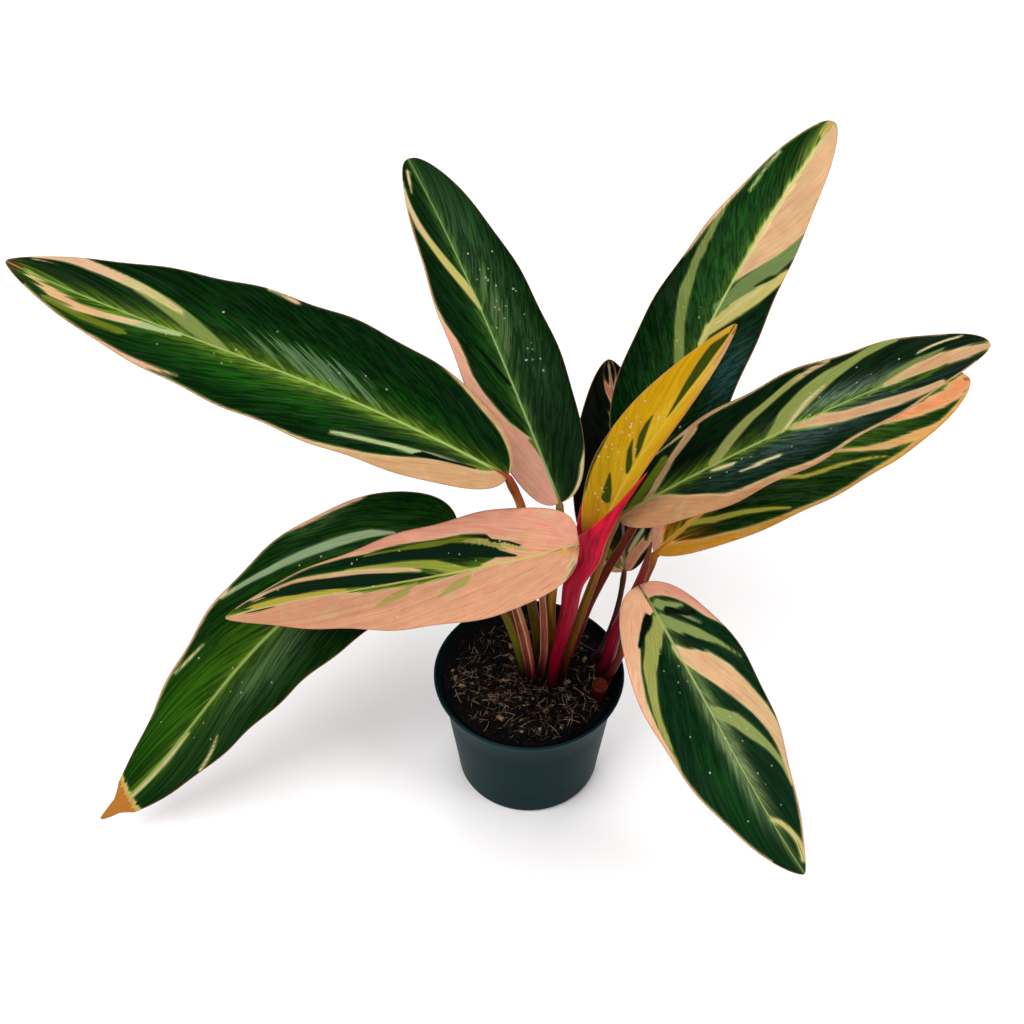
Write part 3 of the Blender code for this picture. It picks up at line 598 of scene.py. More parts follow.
STALK_STOPS = {
    "left_long": ((0, tone(64, 54, 16)), (.35, tone(112, 98, 24)), (.6, tone(122, 100, 32)),
        (.76, tone(156, 92, 30)), (.93, tone(140, 74, 32)), (1, tone(120, 80, 40))),
    "back_left": ((0, tone(64, 36, 14)), (.4, tone(100, 78, 22)), (.84, tone(120, 102, 42)),
        (1, tone(150, 130, 70))),
    "back_right": ((0, tone(84, 26, 22)), (.4, tone(112, 50, 24)), (.84, tone(108, 44, 28)),
        (1, tone(110, 80, 40))),
    "young_gold": ((0, tone(120, 10, 36)), (.6, tone(160, 60, 24)), (1, tone(200, 130, 30))),
    "right_upper": ((0, tone(92, 36, 16)), (.4, tone(144, 98, 18)), (.84, tone(132, 92, 34)),
        (1, tone(140, 110, 46))),
    "right_lower": ((0, tone(60, 26, 14)), (.4, tone(106, 66, 22)), (.84, tone(144, 88, 30)),
        (1, tone(190, 116, 30))),
    "back_small": ((0, tone(50, 8, 18)), (.5, tone(86, 28, 36)), (.9, tone(76, 56, 26)),
        (1, tone(90, 90, 36))),
    "left_drooping": ((0, tone(60, 52, 14)), (.35, tone(116, 108, 24)), (.8, tone(122, 114, 34)),
        (.93, tone(150, 120, 56)), (1, tone(150, 140, 66))),
    "front_pink": ((0, tone(84, 54, 16)), (.4, tone(144, 108, 24)), (.84, tone(162, 112, 36)),
        (1, tone(200, 140, 80))),
    "front_right": ((0, tone(64, 12, 22)), (.4, tone(116, 40, 32)), (.84, tone(134, 84, 38)),
        (1, tone(150, 120, 56))),
}


class Wire:
    """One socket of a material's nodes, on which plain arithmetic adds Math nodes."""

    def __init__(self, shader: "Shader", socket: Socket) -> None:
        """Keep the socket and the material that it belongs to."""
        self.shader = shader
        self.socket = socket

    def first(self, operation: str, other: Any = 0.0) -> "Wire":
        """A Math node whose first number is this one."""
        return self.shader.node("ShaderNodeMath", {"operation": operation}, {0: self, 1: other})

    def second(self, operation: str, other: Any) -> "Wire":
        """A Math node whose second number is this one."""
        return self.shader.node("ShaderNodeMath", {"operation": operation}, {0: other, 1: self})

    __add__ = partialmethod(first, "ADD")
    __radd__ = partialmethod(second, "ADD")
    __sub__ = partialmethod(first, "SUBTRACT")
    __rsub__ = partialmethod(second, "SUBTRACT")
    __mul__ = partialmethod(first, "MULTIPLY")
    __rmul__ = partialmethod(second, "MULTIPLY")
    size = partialmethod(first, "ABSOLUTE")
    sine = partialmethod(first, "SINE")

    def ramp(self, low: float, high: float) -> "Wire":
        """A smooth step from 0 to 1.

        Args:
            low: Where it is 0.
            high: Where it is 1; it may be less than low.
        Returns:
            The step.
        """
        start, end = sorted((low, high))
        step = self.shader.node("ShaderNodeMapRange", {"interpolation_type": "SMOOTHSTEP"},
                                {"Value": self, "From Min": start, "From Max": end})
        return step if low < high else 1 - step


class Shader:
    """A node material in the making."""

    def __init__(self, name: str) -> None:
        """Start a material with a Principled shader.

        Args:
            name: The material's name.
        """
        self.material = bpy.data.materials.new(name)
        self.material.use_nodes = True
        self.nodes = self.material.node_tree.nodes
        self.links = self.material.node_tree.links
        self.surface = self.nodes["Principled BSDF"]

    def feed(self, socket: Socket, value: Any) -> None:
        """Link a wire to a socket, or set the socket's own value.

        Args:
            socket: The socket.
            value: A wire, a number, a vector or a colour.
        """
        if isinstance(value, Wire):
            self.links.new(value.socket, socket)
        elif isinstance(value, tuple) and socket.type == "RGBA":
            socket.default_value = (*value[:3], 1.0)
        else:
            socket.default_value = value

    def node(self, kind: str, settings: dict | None = None, sockets: dict | None = None,
             out: int | str = 0) -> Wire:
        """Add a node.

        Args:
            kind: The node's type.
            settings: Its settings, which are set first.
            sockets: Values or wires of its sockets by name or number.
            out: Which of its outputs is returned.
        Returns:
            The output as a wire.
        """
        made = self.nodes.new(kind)
        for key, value in (settings or {}).items():
            setattr(made, key, value)
        for key, value in (sockets or {}).items():
            self.feed(made.inputs[key], value)
        return Wire(self, made.outputs[out])

    def surface_sockets(self, **values: Any) -> Material:
        """Set or link the Principled shader's sockets.

        Args:
            values: Values or wires by the sockets' names, with _ for a space.
        Returns:
            The finished material.
        """
        for key, value in values.items():
            self.feed(self.surface.inputs[key.replace("_", " ")], value)
        return self.material

    def number(self, name: str) -> Wire:
        """A number that the mesh carries."""
        return self.node("ShaderNodeAttribute", {"attribute_name": name}, out="Fac")

    def colour(self, name: str) -> Wire:
        """A colour that the mesh carries."""
        return self.node("ShaderNodeAttribute", {"attribute_name": name}, out="Color")

    def place(self) -> Wire:
        """Object coordinates."""
        return self.node("ShaderNodeTexCoord", out="Object")

    def split(self, vector: Wire) -> list[Wire]:
        """The three numbers of a vector."""
        made = self.node("ShaderNodeSeparateXYZ", sockets={0: vector}).socket.node
        return [Wire(self, socket) for socket in made.outputs]

    def chart(self, name: str, scale: float = 1.0) -> list[Wire]:
        """The two coordinates of a UV map, times a scale."""
        parts = self.split(self.node("ShaderNodeUVMap", {"uv_map": name}))[:2]
        return [part * scale for part in parts]

    def vector(self, x: Any, y: Any, z: Any = 0.0) -> Wire:
        """A vector from three numbers."""
        return self.node("ShaderNodeCombineXYZ", sockets={0: x, 1: y, 2: z})

    def noise(self, where: Wire, scale: float, detail: float = 2.0, rough: float = 0.5) -> Wire:
        """Soft noise from 0 to 1."""
        sockets = {"Vector": where, "Scale": scale, "Detail": detail, "Roughness": rough}
        return self.node("ShaderNodeTexNoise", {"noise_dimensions": "3D"}, sockets, "Fac")

    def streaks(self, chart: Sequence[Wire], pitch: Triple,
                detail: float = 3.0, rough: float = 0.6) -> Wire:
        """Noise that is drawn out along a chart.

        Args:
            chart: The chart's two coordinates.
            pitch: Scale along each of them, and which slice of the noise is read.
            detail, rough: As for plain noise.
        Returns:
            The noise, from 0 to 1.
        """
        where = self.vector(chart[0] * pitch[0], chart[1] * pitch[1], pitch[2])
        return self.noise(where, 1.0, detail, rough)

    def mix(self, share: Any, first: Any, second: Any, blend: str = "MIX") -> Wire:
        """Two colours mixed by a share."""
        settings = {"data_type": "RGBA", "blend_type": blend}
        return self.node("ShaderNodeMix", settings, {0: share, 6: first, 7: second}, 2)

    def tinted(self, colour: Wire, factors: Colour) -> Wire:
        """A colour times a factor for each channel."""
        return self.mix(1.0, colour, factors, "MULTIPLY")

    def bump(self, height: Any, distance: float, strength: float = 0.8) -> Wire:
        """A normal from a height."""
        return self.node("ShaderNodeBump",
                         sockets={"Strength": strength, "Distance": distance, "Height": height})


@dataclass(frozen=True)
class BladeFinish:
    """The upper face of the leaves: painted bands with edges that fray along the veins."""
    vein_pitch: float = 2.6
    roughness: float = 0.33
    edge: float = 0.4        # half the width over which a mark's edge blends
    halo: float = 2.2        # how far the green is lit beyond the pale parts

    def build(self) -> Material:
        """The material."""
        shader = Shader("leaf_face")
        chart = shader.chart("vein", CHART_UNIT)
        fray = (shader.streaks(chart, (1.15, 0.09, 0), 2.0) - 0.5) * (shader.number("mottling") * 0.8 + 0.2)
        thread = shader.streaks(chart, (2.6, 0.12, 5), 1.0, 0.5)
        broad = shader.streaks(chart, (0.34, 0.08, 9))
        cloud = shader.noise(shader.place(), 55.0, 3.0, 0.55)
        speck = shader.noise(shader.place(), 420.0, 3.0, 0.7)
        layers = self.greens(shader, chart, broad, thread)
        beyond = (shader.number("flush") + fray * 3.0).ramp(self.halo, 0.0)
        layers = shader.mix(beyond * 0.55, layers, shader.tinted(layers, (5.5, 4.2, 3.2)))
        marks = (("band", 1.5, 1.5, -0.4, 0.35), ("flush", 1.6, 1.5, -0.4, 0.35),
                 ("ink", 1.3, 0.9, 0.0, 0.4))
        for name, jag, far, near, amount in marks:
            gap = shader.number(name) + fray * jag
            colour = shader.colour(name + "_colour")
            if name == "flush":
                colour = self.blush(shader, colour, gap, broad, cloud)
            shade = shader.tinted(colour, (0.76, 0.74, 0.70))
            colour = shader.mix(thread.ramp(0.38, 0.72), colour, shade)
            layers = shader.mix(gap.ramp(far, near) * amount, layers, colour)
            layers = shader.mix(gap.ramp(self.edge, -self.edge), layers, colour)
        rib = shader.number("rib").ramp(0.4, -0.5) * 0.85
        layers = shader.mix(rib, layers, shader.colour("rib_colour"))
        layers = shader.mix(shader.number("margin").ramp(0.7, 0.3) * 0.55, layers, tone(176, 120, 96))
        layers = shader.mix(speck.ramp(0.5, 0.8) * 0.22, layers, shader.tinted(layers, (0.6, 0.62, 0.55)))
        wave = (chart[0] * (2 * math.pi / self.vein_pitch)).sine()
        normal = shader.bump(wave * 0.4 + thread * 0.3 + speck * 0.35, 0.00007)
        rough = self.roughness + (broad - 0.5) * 0.16 + (speck - 0.5) * 0.14
        return shader.surface_sockets(Base_Color=layers, Roughness=rough, Normal=normal,
                                      Specular_IOR_Level=0.022)

    @staticmethod
    def greens(shader: Shader, chart: Sequence[Wire], broad: Wire, thread: Wire) -> Wire:
        """The green ground, streaked and mottled along the veins, with its soft feathering.

        Args:
            shader: The material in the making.
            chart: Coordinates across and along the veins.
            broad, thread: Wide and thin streaks.
        Returns:
            The colour.
        """
        mottle = shader.streaks(chart, (0.55, 0.17, 14))
        comb = shader.streaks(chart, (0.8, 0.045, 3))
        ground = shader.colour("ground")
        amount = shader.number("mottling")
        lit = shader.tinted(ground, (1.5, 1.6, 1.1))
        dark = shader.tinted(ground, (0.26, 0.32, 0.3))
        layers = ((broad.ramp(0.42, 0.64), 0.7, lit), (mottle.ramp(0.54, 0.44), 0.85, dark),
                  (comb.ramp(0.48, 0.36), 0.6, dark), (thread.ramp(0.6, 0.42), 0.2, dark))
        for step, share, other in layers:
            ground = shader.mix(step * amount * share, ground, other)
        mask = (comb + shader.number("feather") * 0.48 - 0.90).ramp(0.0, 0.12)
        return shader.mix(mask * (0.3 + thread * 0.6), ground, shader.colour("feather_colour"))

    @staticmethod
    def blush(shader: Shader, colour: Wire, gap: Wire, broad: Wire, cloud: Wire) -> Wire:
        """The pale parts: creamier towards the green and pinker away from it.

        Args:
            shader: The material in the making.
            colour: Their plain colour.
            gap: Distance to their edge.
            broad, cloud: Wide streaks and soft spots.
        Returns:
            The colour.
        """
        cream = shader.mix(0.7, colour, tone(200, 190, 138))
        rosy = shader.tinted(colour, (1.0, 0.80, 0.82))
        colour = shader.mix(gap.ramp(-3.6, 0.2) * 0.75, colour, cream)
        bright = shader.tinted(colour, (1.16, 1.14, 1.18))
        colour = shader.mix(broad.ramp(0.42, 0.66) * 0.7, colour, rosy)
        colour = shader.mix(cloud.ramp(0.46, 0.6) * 0.45, colour, bright)
        return shader.mix(cloud.ramp(0.44, 0.3) * 0.35, colour, cream)


@dataclass(frozen=True)
class UndersideFinish:
    """The lower face: wine red, rosier under the pale parts of the upper face."""
    wine: Colour = tone(84, 22, 38)
    rosy: Colour = tone(190, 96, 92)
    rib: Colour = tone(150, 96, 70)
    vein_pitch: float = 2.6

    def build(self) -> Material:
        """The material."""
        shader = Shader("leaf_underside")
        chart = shader.chart("vein", CHART_UNIT)
        thread = shader.streaks(chart, (1.6, 0.08, 2), 2.0, 0.5)
        colour = shader.mix(thread, self.wine, tuple(value * 1.7 for value in self.wine))
        colour = shader.mix(shader.number("flush").ramp(0.8, -0.8) * 0.85, colour, self.rosy)
        colour = shader.mix(shader.number("rib").ramp(0.8, -0.6) * 0.7, colour, self.rib)
        wave = (chart[0] * (2 * math.pi / self.vein_pitch)).sine()
        normal = shader.bump(wave * 0.5 + thread, 0.0001)
        return shader.surface_sockets(Base_Color=colour, Roughness=0.42 + thread * 0.12, Normal=normal,
                                      Specular_IOR_Level=0.4)


@dataclass(frozen=True)
class StemFinish:
    """Stalks and sheaths: ribbed skin in the colours that their mesh carries."""
    name: str
    roughness: float
    ridge: float             # how many ridges go round
    mottle: float
    flank: float = 0.0       # how much pink runs up the right side

    def build(self) -> Material:
        """The material."""
        shader = Shader(self.name)
        chart = shader.chart("skin")
        ridge = (chart[0] * (2 * math.pi * self.ridge)).sine()
        streak = shader.streaks(chart, (18, 4, 0))
        blotch = shader.noise(shader.place(), 110.0, 3.0, 0.6)
        pink = (chart[0] - 0.44).size().ramp(0.13, 0.05) * streak.ramp(0.3, 0.5) * self.flank
        tint = shader.mix(pink, shader.colour("tint"), tone(168, 40, 52))
        colour = shader.mix(streak.ramp(0.3, 0.62), shader.tinted(tint, (0.5, 0.46, 0.5)), tint)
        pale = shader.tinted(tint, (1.5, 1.5, 1.45))
        colour = shader.mix(blotch.ramp(0.5, 0.78) * self.mottle, colour, pale)
        return shader.surface_sockets(Base_Color=colour, Roughness=self.roughness + (blotch - 0.5) * 0.2,
                                      Normal=shader.bump(ridge * 0.3 + streak * 0.7, 0.00014),
                                      Specular_IOR_Level=0.06)


@dataclass(frozen=True)
class PotFinish:
    """Dark blue-green moulded plastic with faint scuffs, with painted shade darkening the inner wall."""
    base: Colour = tone(5, 36, 40)
    scuffed: Colour = tone(70, 96, 98)
    # painted shade for the inner wall
    inside: Colour = tone(5, 14, 15)

    def build(self) -> Material:
        """The material."""
        shader = Shader("pot_plastic")
        cloud = shader.noise(shader.place(), 22.0, 3.0, 0.55)
        x, y, z = shader.split(shader.place())
        scuff = shader.noise(shader.vector(x * 60.0, y * 60.0, z * 900.0), 1.0, 3.0, 0.65)
        dusty = tuple(value * 1.5 + 0.003 for value in self.base)
        colour = shader.mix(cloud.ramp(0.35, 0.75) * 0.5, self.base, dusty)
        colour = shader.mix(scuff.ramp(0.62, 0.8) * 0.15, colour, self.scuffed)
        # faces turned inwards take the inside colour: painted shade inside the pot
        facing = shader.node("ShaderNodeNewGeometry", out="Normal")
        outward = shader.node("ShaderNodeVectorMath", {"operation": "DOT_PRODUCT"},
                              {0: facing, 1: shader.vector(x, y)}, "Value")
        colour = shader.mix(outward.ramp(-0.004, -0.03) * 0.8, colour, self.inside)
        grain = shader.noise(shader.place(), 900.0, 3.0, 0.6)
        return shader.surface_sockets(Base_Color=colour, Roughness=0.34 + cloud * 0.12 + scuff * 0.06,
                                      Normal=shader.bump(grain, 0.00004, 0.5), Specular_IOR_Level=0.035)


@dataclass(frozen=True)
class SoilFinish:
    """Damp black potting soil."""
    wet: Colour = tone(3, 3, 3)
    damp: Colour = tone(17, 13, 10)
    dry: Colour = tone(54, 41, 29)

    def build(self) -> Material:
        """The material."""
        shader = Shader("potting_soil")
        coarse = shader.noise(shader.place(), 260.0, 4.0, 0.7)
        fine = shader.noise(shader.place(), 900.0, 3.0, 0.7)
        colour = shader.mix(coarse.ramp(0.4, 0.75), self.wet, self.damp)
        colour = shader.mix(fine.ramp(0.66, 0.84) * 0.45, colour, self.dry)
        return shader.surface_sockets(Base_Color=colour, Roughness=0.86 + fine * 0.1,
                                      Normal=shader.bump(coarse + fine * 0.5, 0.0012, 1.0),
                                      Specular_IOR_Level=0.06)


@dataclass(frozen=True)
class LitterFinish:
    """Fibres and crumbs on the soil: a colour that varies from place to place."""
    name: str
    dark: Colour
    pale: Colour

    def build(self) -> Material:
        """The material."""
        shader = Shader(self.name)
        wide = shader.noise(shader.place(), 210.0)
        fine = shader.noise(shader.place(), 1400.0)
        colour = shader.mix(fine * 0.4, shader.mix(wide.ramp(0.38, 0.62), self.dark, self.pale), self.dark)
        return shader.surface_sockets(Base_Color=colour, Roughness=0.8 + fine * 0.1,
                                      Normal=shader.bump(fine, 0.0002, 0.7), Specular_IOR_Level=0.15)


@dataclass(frozen=True)
class FloorFinish:
    """Plain pale studio floor."""
    low: Colour = (0.92, 0.92, 0.915)
    high: Colour = (0.95, 0.95, 0.945)

    def build(self) -> Material:
        """The material."""
        shader = Shader("studio_floor")
        tooth = shader.noise(shader.place(), 40.0, 3.0)
        return shader.surface_sockets(Base_Color=shader.mix(tooth, self.low, self.high), Roughness=0.9)


@dataclass(frozen=True)
class DewFinish:
    """Water drops: mostly see-through, with bright glints, and a pale, partly opaque colour that is a
    painted highlight for the light the drops catch.
    """

    def build(self) -> Material:
        """The material."""
        # pale base colour at low alpha: painted highlight, lighter dots for the light in the drops
        return Shader("dew_water").surface_sockets(Base_Color=(0.8, 0.8, 0.6), Roughness=0.08, Alpha=0.2,
                                                   Specular_IOR_Level=1.0)


class Builder:
    """Makes mesh objects and attaches them to the body that carries them."""

    @staticmethod
    def put(name: str, data: bpy.types.ID) -> Thing:
        """A new object in the scene, with the mesh, light or camera given."""
        made = bpy.data.objects.new(name, data)
        bpy.context.scene.collection.objects.link(made)
        return made

    @staticmethod
    def mesh(name: str, points: Array, faces: list, materials: Sequence[Material]) -> Thing:
        """A mesh object.

        Args:
            name: The piece's name.
            points: Its vertices, in millimetres.
            faces: Its faces as vertex numbers.
            materials: Its materials.
        Returns:
            The object, in the scene.
        """
        data = bpy.data.meshes.new(name)
        data.from_pydata((points * MM).tolist(), [], faces)
        for material in materials:
            data.materials.append(material)
        data.polygons.foreach_set("use_smooth", [True] * len(data.polygons))
        data.update()
        return Builder.put(name, data)

    @staticmethod
    def evaluated(made: Thing) -> bpy.types.Mesh:
        """The mesh that an object's modifiers give."""
        graph = bpy.context.evaluated_depsgraph_get()
        return bpy.data.meshes.new_from_object(made.evaluated_get(graph))

    @staticmethod
    def face_outwards(made: Thing) -> None:
        """Turn all faces of a closed mesh outwards."""
        bm = bmesh.new()
        bm.from_mesh(made.data)
        bmesh.ops.recalc_face_normals(bm, faces=bm.faces)
        bm.to_mesh(made.data)
        bm.free()

    @staticmethod
    def places(made: Thing) -> Array:
        """A mesh's vertices, in metres."""
        coords = np.empty(len(made.data.vertices) * 3)
        made.data.vertices.foreach_get("co", coords)
        return coords.reshape(-1, 3)

    @staticmethod
    def carry(made: Thing, name: str, values: Array) -> None:
        """Give each vertex a number or a colour.

        Args:
            made: The object.
            name: The attribute's name.
            values: A number or a colour for each vertex.
        """
        kind, key = "FLOAT", "value"
        if values.ndim > 1:
            kind, key = "FLOAT_COLOR", "color"
            values = np.column_stack([values, np.ones(len(values))])
        layer = made.data.attributes.new(name, kind, "POINT")
        layer.data.foreach_set(key, values.astype(np.float32).ravel())

    @staticmethod
    def chart(made: Thing, name: str, values: Array) -> None:
        """Give the mesh a UV map.

        Args:
            made: The object.
            name: The map's name.
            values: Two numbers for each vertex.
        """
        corners = np.empty(len(made.data.loops), dtype=np.int32)
        made.data.loops.foreach_get("vertex_index", corners)
        layer = made.data.uv_layers.new(name=name)
        layer.data.foreach_set("uv", values[corners].astype(np.float32).ravel())

    @staticmethod
    def hand_over(made: Thing, slot: str, *nodes: str) -> None:
        """Hide the nodes that a piece replaces, attach it to the body that carries it and log its
        triangles.

        Args:
            made: The piece.
            slot: Not used.
            nodes: The nodes that it replaces.
        """
        if nodes:
            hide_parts(*nodes)
        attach(made, BODY)
        made.data.calc_loop_triangles()
        LOG.info("%s: %d triangles", made.name, len(made.data.loop_triangles))

    @staticmethod
    def shell_faces(rows: int, columns: int) -> list:
        """Faces of a closed sheet whose lower grid of points follows its upper one.

        Args:
            rows, columns: The grid's size.
        Returns:
            Each face's vertex numbers: the upper faces, the lower ones, then the rim.
        """
        index = np.arange(rows * columns).reshape(rows, columns)
        a, b = index[:-1, :-1].ravel(), index[:-1, 1:].ravel()
        c, d = index[1:, 1:].ravel(), index[1:, :-1].ravel()
        upper = np.stack([a, b, c, d], axis=1)
        below = rows * columns
        ring = np.concatenate([index[0, :-1], index[:-1, -1], index[-1, :0:-1], index[:0:-1, 0]])
        onward = np.roll(ring, -1)
        rim = np.stack([onward, ring, ring + below, onward + below], axis=1)
        return np.concatenate([upper, upper[:, ::-1] + below, rim]).tolist()


def grid_normals(points: Array) -> Array:
    """Unit normals of a grid of points, rows first, on the side of (columns x rows)."""
    normal = np.cross(np.gradient(points, axis=1), np.gradient(points, axis=0))
    return normal / np.maximum(np.linalg.norm(normal, axis=2, keepdims=True), 1e-9)


@dataclass
class Leaf:
    """One leaf's blade: a fine two-sided sheet with a midrib, replacing its solid."""
    growth: Growth
    painting: Painting
    thickness: float = 0.5
    rib_depth: float = 0.9
    row_step: float = 1.15
    column_step: float = 1.5
    quilt: float = 0.28          # height of the waves between the lateral veins
    quilt_pitch: float = 9.0
    edge: float = 0.7            # half width of the blade at its very ends
    margin_fall: float = 0.4
    wave_length: float = 56.0
    lobe_reach: float = 0.16
    fray_pitch: float = 2.3      # along the margin, between two slips of the marks
    unmarked: float = 20.0       # distance to the nearest mark where none is near

    def half(self, s: Array, t: Array) -> Array:
        """Half width of the blade.

        Args:
            s, t: Places on it.
        Returns:
            The half width on the side of t.
        """
        g = self.growth
        widest = g.shoulder / (g.shoulder + g.point)
        top = widest**g.shoulder * (1 - widest)**g.point
        inside = np.clip(s, 0, 1)
        profile = inside**g.shoulder * (1 - inside)**g.point / top
        drawn = 1 - 0.4 * np.clip((inside - self.painting.dry) / 0.03, 0, 1)
        return np.where(np.asarray(t) > 0, g.right, g.left) * profile * drawn + self.edge

    def midrib(self, s: Array, steps: int = 64) -> Array:
        """Points of the midrib.

        Args:
            s: Their places.
            steps: Into how many straight steps the midrib is cut.
        Returns:
            A row for each place.
        """
        g = self.growth
        middle = (np.arange(steps) + 0.5) / steps
        legs = self.direction(self.heading(middle), self.pitch(middle)) * g.length / steps
        base = np.array(g.base, float)
        line = np.vstack([base, base + np.cumsum(legs, axis=0)])
        known = np.linspace(0, 1, steps + 1)
        return np.stack([np.interp(s, known, line[:, k]) for k in range(3)], axis=-1)

    def heading(self, s: Array) -> Array:
        """Heading of the midrib."""
        g = self.growth
        return g.heading + g.turn * s + g.late_turn * s**3

    def pitch(self, s: Array) -> Array:
        """Pitch of the midrib."""
        g = self.growth
        return g.pitch + g.arch * s + g.late_arch * s**3

    @staticmethod
    def direction(heading: Array, pitch: Array) -> Array:
        """Unit vectors of headings and pitches in degrees."""
        h, p = np.radians(heading), np.radians(pitch)
        return np.stack([np.cos(p) * np.cos(h), np.cos(p) * np.sin(h), np.sin(p)], axis=-1)

    def frame_at(self, s: Array) -> tuple[Array, Array, Array]:
        """The blade's own directions.

        Args:
            s: Places along the midrib.
        Returns:
            Directions along the midrib, to the right side, and out of the upper face.
        """
        g = self.growth
        along = self.direction(self.heading(s), self.pitch(s))
        level = self.direction(self.heading(s) - 90, np.zeros_like(s))
        over = np.cross(level, along)
        roll = np.radians(g.roll + g.twist * s)[..., None]
        side = level * np.cos(roll) + over * np.sin(roll)
        return along, side, np.cross(side, along)

    def surface(self, s: Array, t: Array) -> Array:
        """Points of the blade's middle surface.

        Args:
            s, t: Their places.
        Returns:
            A row for each place.
        """
        g = self.growth
        along, side, above = self.frame_at(s)
        width = self.half(s, t) - self.edge
        size = np.abs(t)
        rise = math.tan(math.radians(g.fold)) * width * (size - self.margin_fall * t * t)
        phase = g.heading / 90 + np.where(t > 0, 0.4, 0.0)
        swell = np.sin(2 * np.pi * (s * g.length / self.wave_length + phase)) * np.sin(np.pi * s)
        behind = g.lobe * np.maximum(0.0, 1 - s / self.lobe_reach)**1.5 * size
        return (self.midrib(s) + side * ((width + self.edge) * t)[..., None]
                + above * (rise + g.wave * t * t * swell)[..., None] - along * behind[..., None])

    def plane(self, s: Array, t: Array) -> LeafPlane:
        """The vertices on the blade spread flat, moved along the veins so that marks fray.

        Args:
            s, t: The vertices' places.
        Returns:
            The spread blade.
        """
        g, sweep = self.growth, self.painting.sweep
        width = self.half(s, t)
        slant = (g.left + g.right) / 2
        slant /= math.hypot(slant, sweep * g.length)
        vein = (s - sweep * np.abs(t)) * g.length * slant
        knots = np.random.default_rng(int(g.length)).uniform(-1, 1, 400)
        spot = vein / self.fray_pitch + len(knots) // 2
        low = np.clip(np.floor(spot).astype(int), 0, len(knots) - 2)
        part = spot - low
        slip = knots[low] * (1 - part) + knots[low + 1] * part
        inside = np.clip(4 * (1 - np.abs(t)), 0, 1) * np.clip(10 * np.abs(t), 0, 1)
        shift = self.painting.fray * slip * inside
        x = s * g.length + shift * math.sqrt(1 - slant**2)
        y = t * width + np.sign(t) * shift * slant
        return LeafPlane(s, t, g.length, self.half, sweep, x, y, width, vein)

    def layer(self, marks: Sequence[Mark], plane: LeafPlane) -> tuple[Array, Array]:
        """How one layer of marks lies on the blade.

        Args:
            marks: The layer's marks.
            plane: The leaf's vertices.
        Returns:
            Signed distance to the nearest mark, and that mark's colour.
        """
        best = np.full(plane.x.shape, self.unmarked)
        colour = np.zeros((len(best), 3))
        for mark in marks:
            gap = mark.reach(plane)
            nearer = gap < best
            best = np.where(nearer, gap, best)
            colour[nearer] = mark.colour
        return best, colour

    def ground(self, plane: LeafPlane) -> Array:
        """The colour under all marks.

        Args:
            plane: The leaf's vertices.
        Returns:
            A row for each vertex.
        """
        paint = self.painting
        colour = np.tile(np.array(paint.ground), (len(plane.s), 1))
        for wash in paint.washes:
            spot = plane.to_plane(*(np.array([place]) for place in wash.spot))[0]
            gap = ((plane.x - spot[0]) / wash.reach[0])**2 + ((plane.y - spot[1]) / wash.reach[1])**2
            share = (wash.strength * np.exp(-gap))[:, None]
            colour = colour * (1 - share) + np.array(wash.colour) * share
        width = np.interp(plane.s, (0, 0.45, 0.95), paint.glow_width)
        share = (0.85 * np.exp(-(np.abs(plane.y) / width)**1.3))[:, None]
        return colour * (1 - share) + np.array(paint.glow) * share

    def grid(self) -> tuple[Array, Array]:
        """The places of the blade's vertices, closer together towards both ends and the midrib.

        Returns:
            Their s and t, a row for each line across the blade.
        """
        g, fineness = self.growth, self.painting.fineness
        rows = int(g.length / self.row_step * fineness)
        columns = int(max(g.left, g.right) / self.column_step * fineness) * 2
        u, v = np.linspace(0, 1, rows + 1), np.linspace(-1, 1, columns + 1)
        s_line = 0.5 * u + 0.5 * (0.5 - 0.5 * np.cos(np.pi * u))
        return np.meshgrid(s_line, 0.72 * v + 0.28 * v**3, indexing="ij")

    def faces(self, s: Array, t: Array, vein: Array) -> Array:
        """Points of the blade's two faces.

        Args:
            s, t: The vertices' places.
            vein: How far along the margin the vein through each vertex leaves the midrib.
        Returns:
            The upper face's points, then the lower face's.
        """
        centre = self.surface(s, t)
        above = self.frame_at(s)[2]
        normal = grid_normals(centre)
        normal = np.where((np.sum(normal * above, axis=2) > 0.3)[..., None], normal, above)
        from_rib = np.abs(t) * self.half(s, t)
        rib = np.exp(-(from_rib / (1.5 - 0.9 * s))**2) * (1 - 0.75 * s)
        quilting = self.quilt * np.sin(vein * 2 * np.pi / self.quilt_pitch) * np.clip(from_rib / 9, 0, 1)
        quilting *= np.clip(4 * (1 - np.abs(t)), 0, 1) * np.sin(np.pi * s)**0.3
        thin = np.clip(3 * (1 - np.abs(t)), 0.35, 1) * self.thickness / 2
        top = centre + normal * (thin + quilting - rib * 0.25)[..., None]
        bottom = centre - normal * (thin - quilting + rib * self.rib_depth)[..., None]
        return np.concatenate([top.reshape(-1, 3), bottom.reshape(-1, 3)])

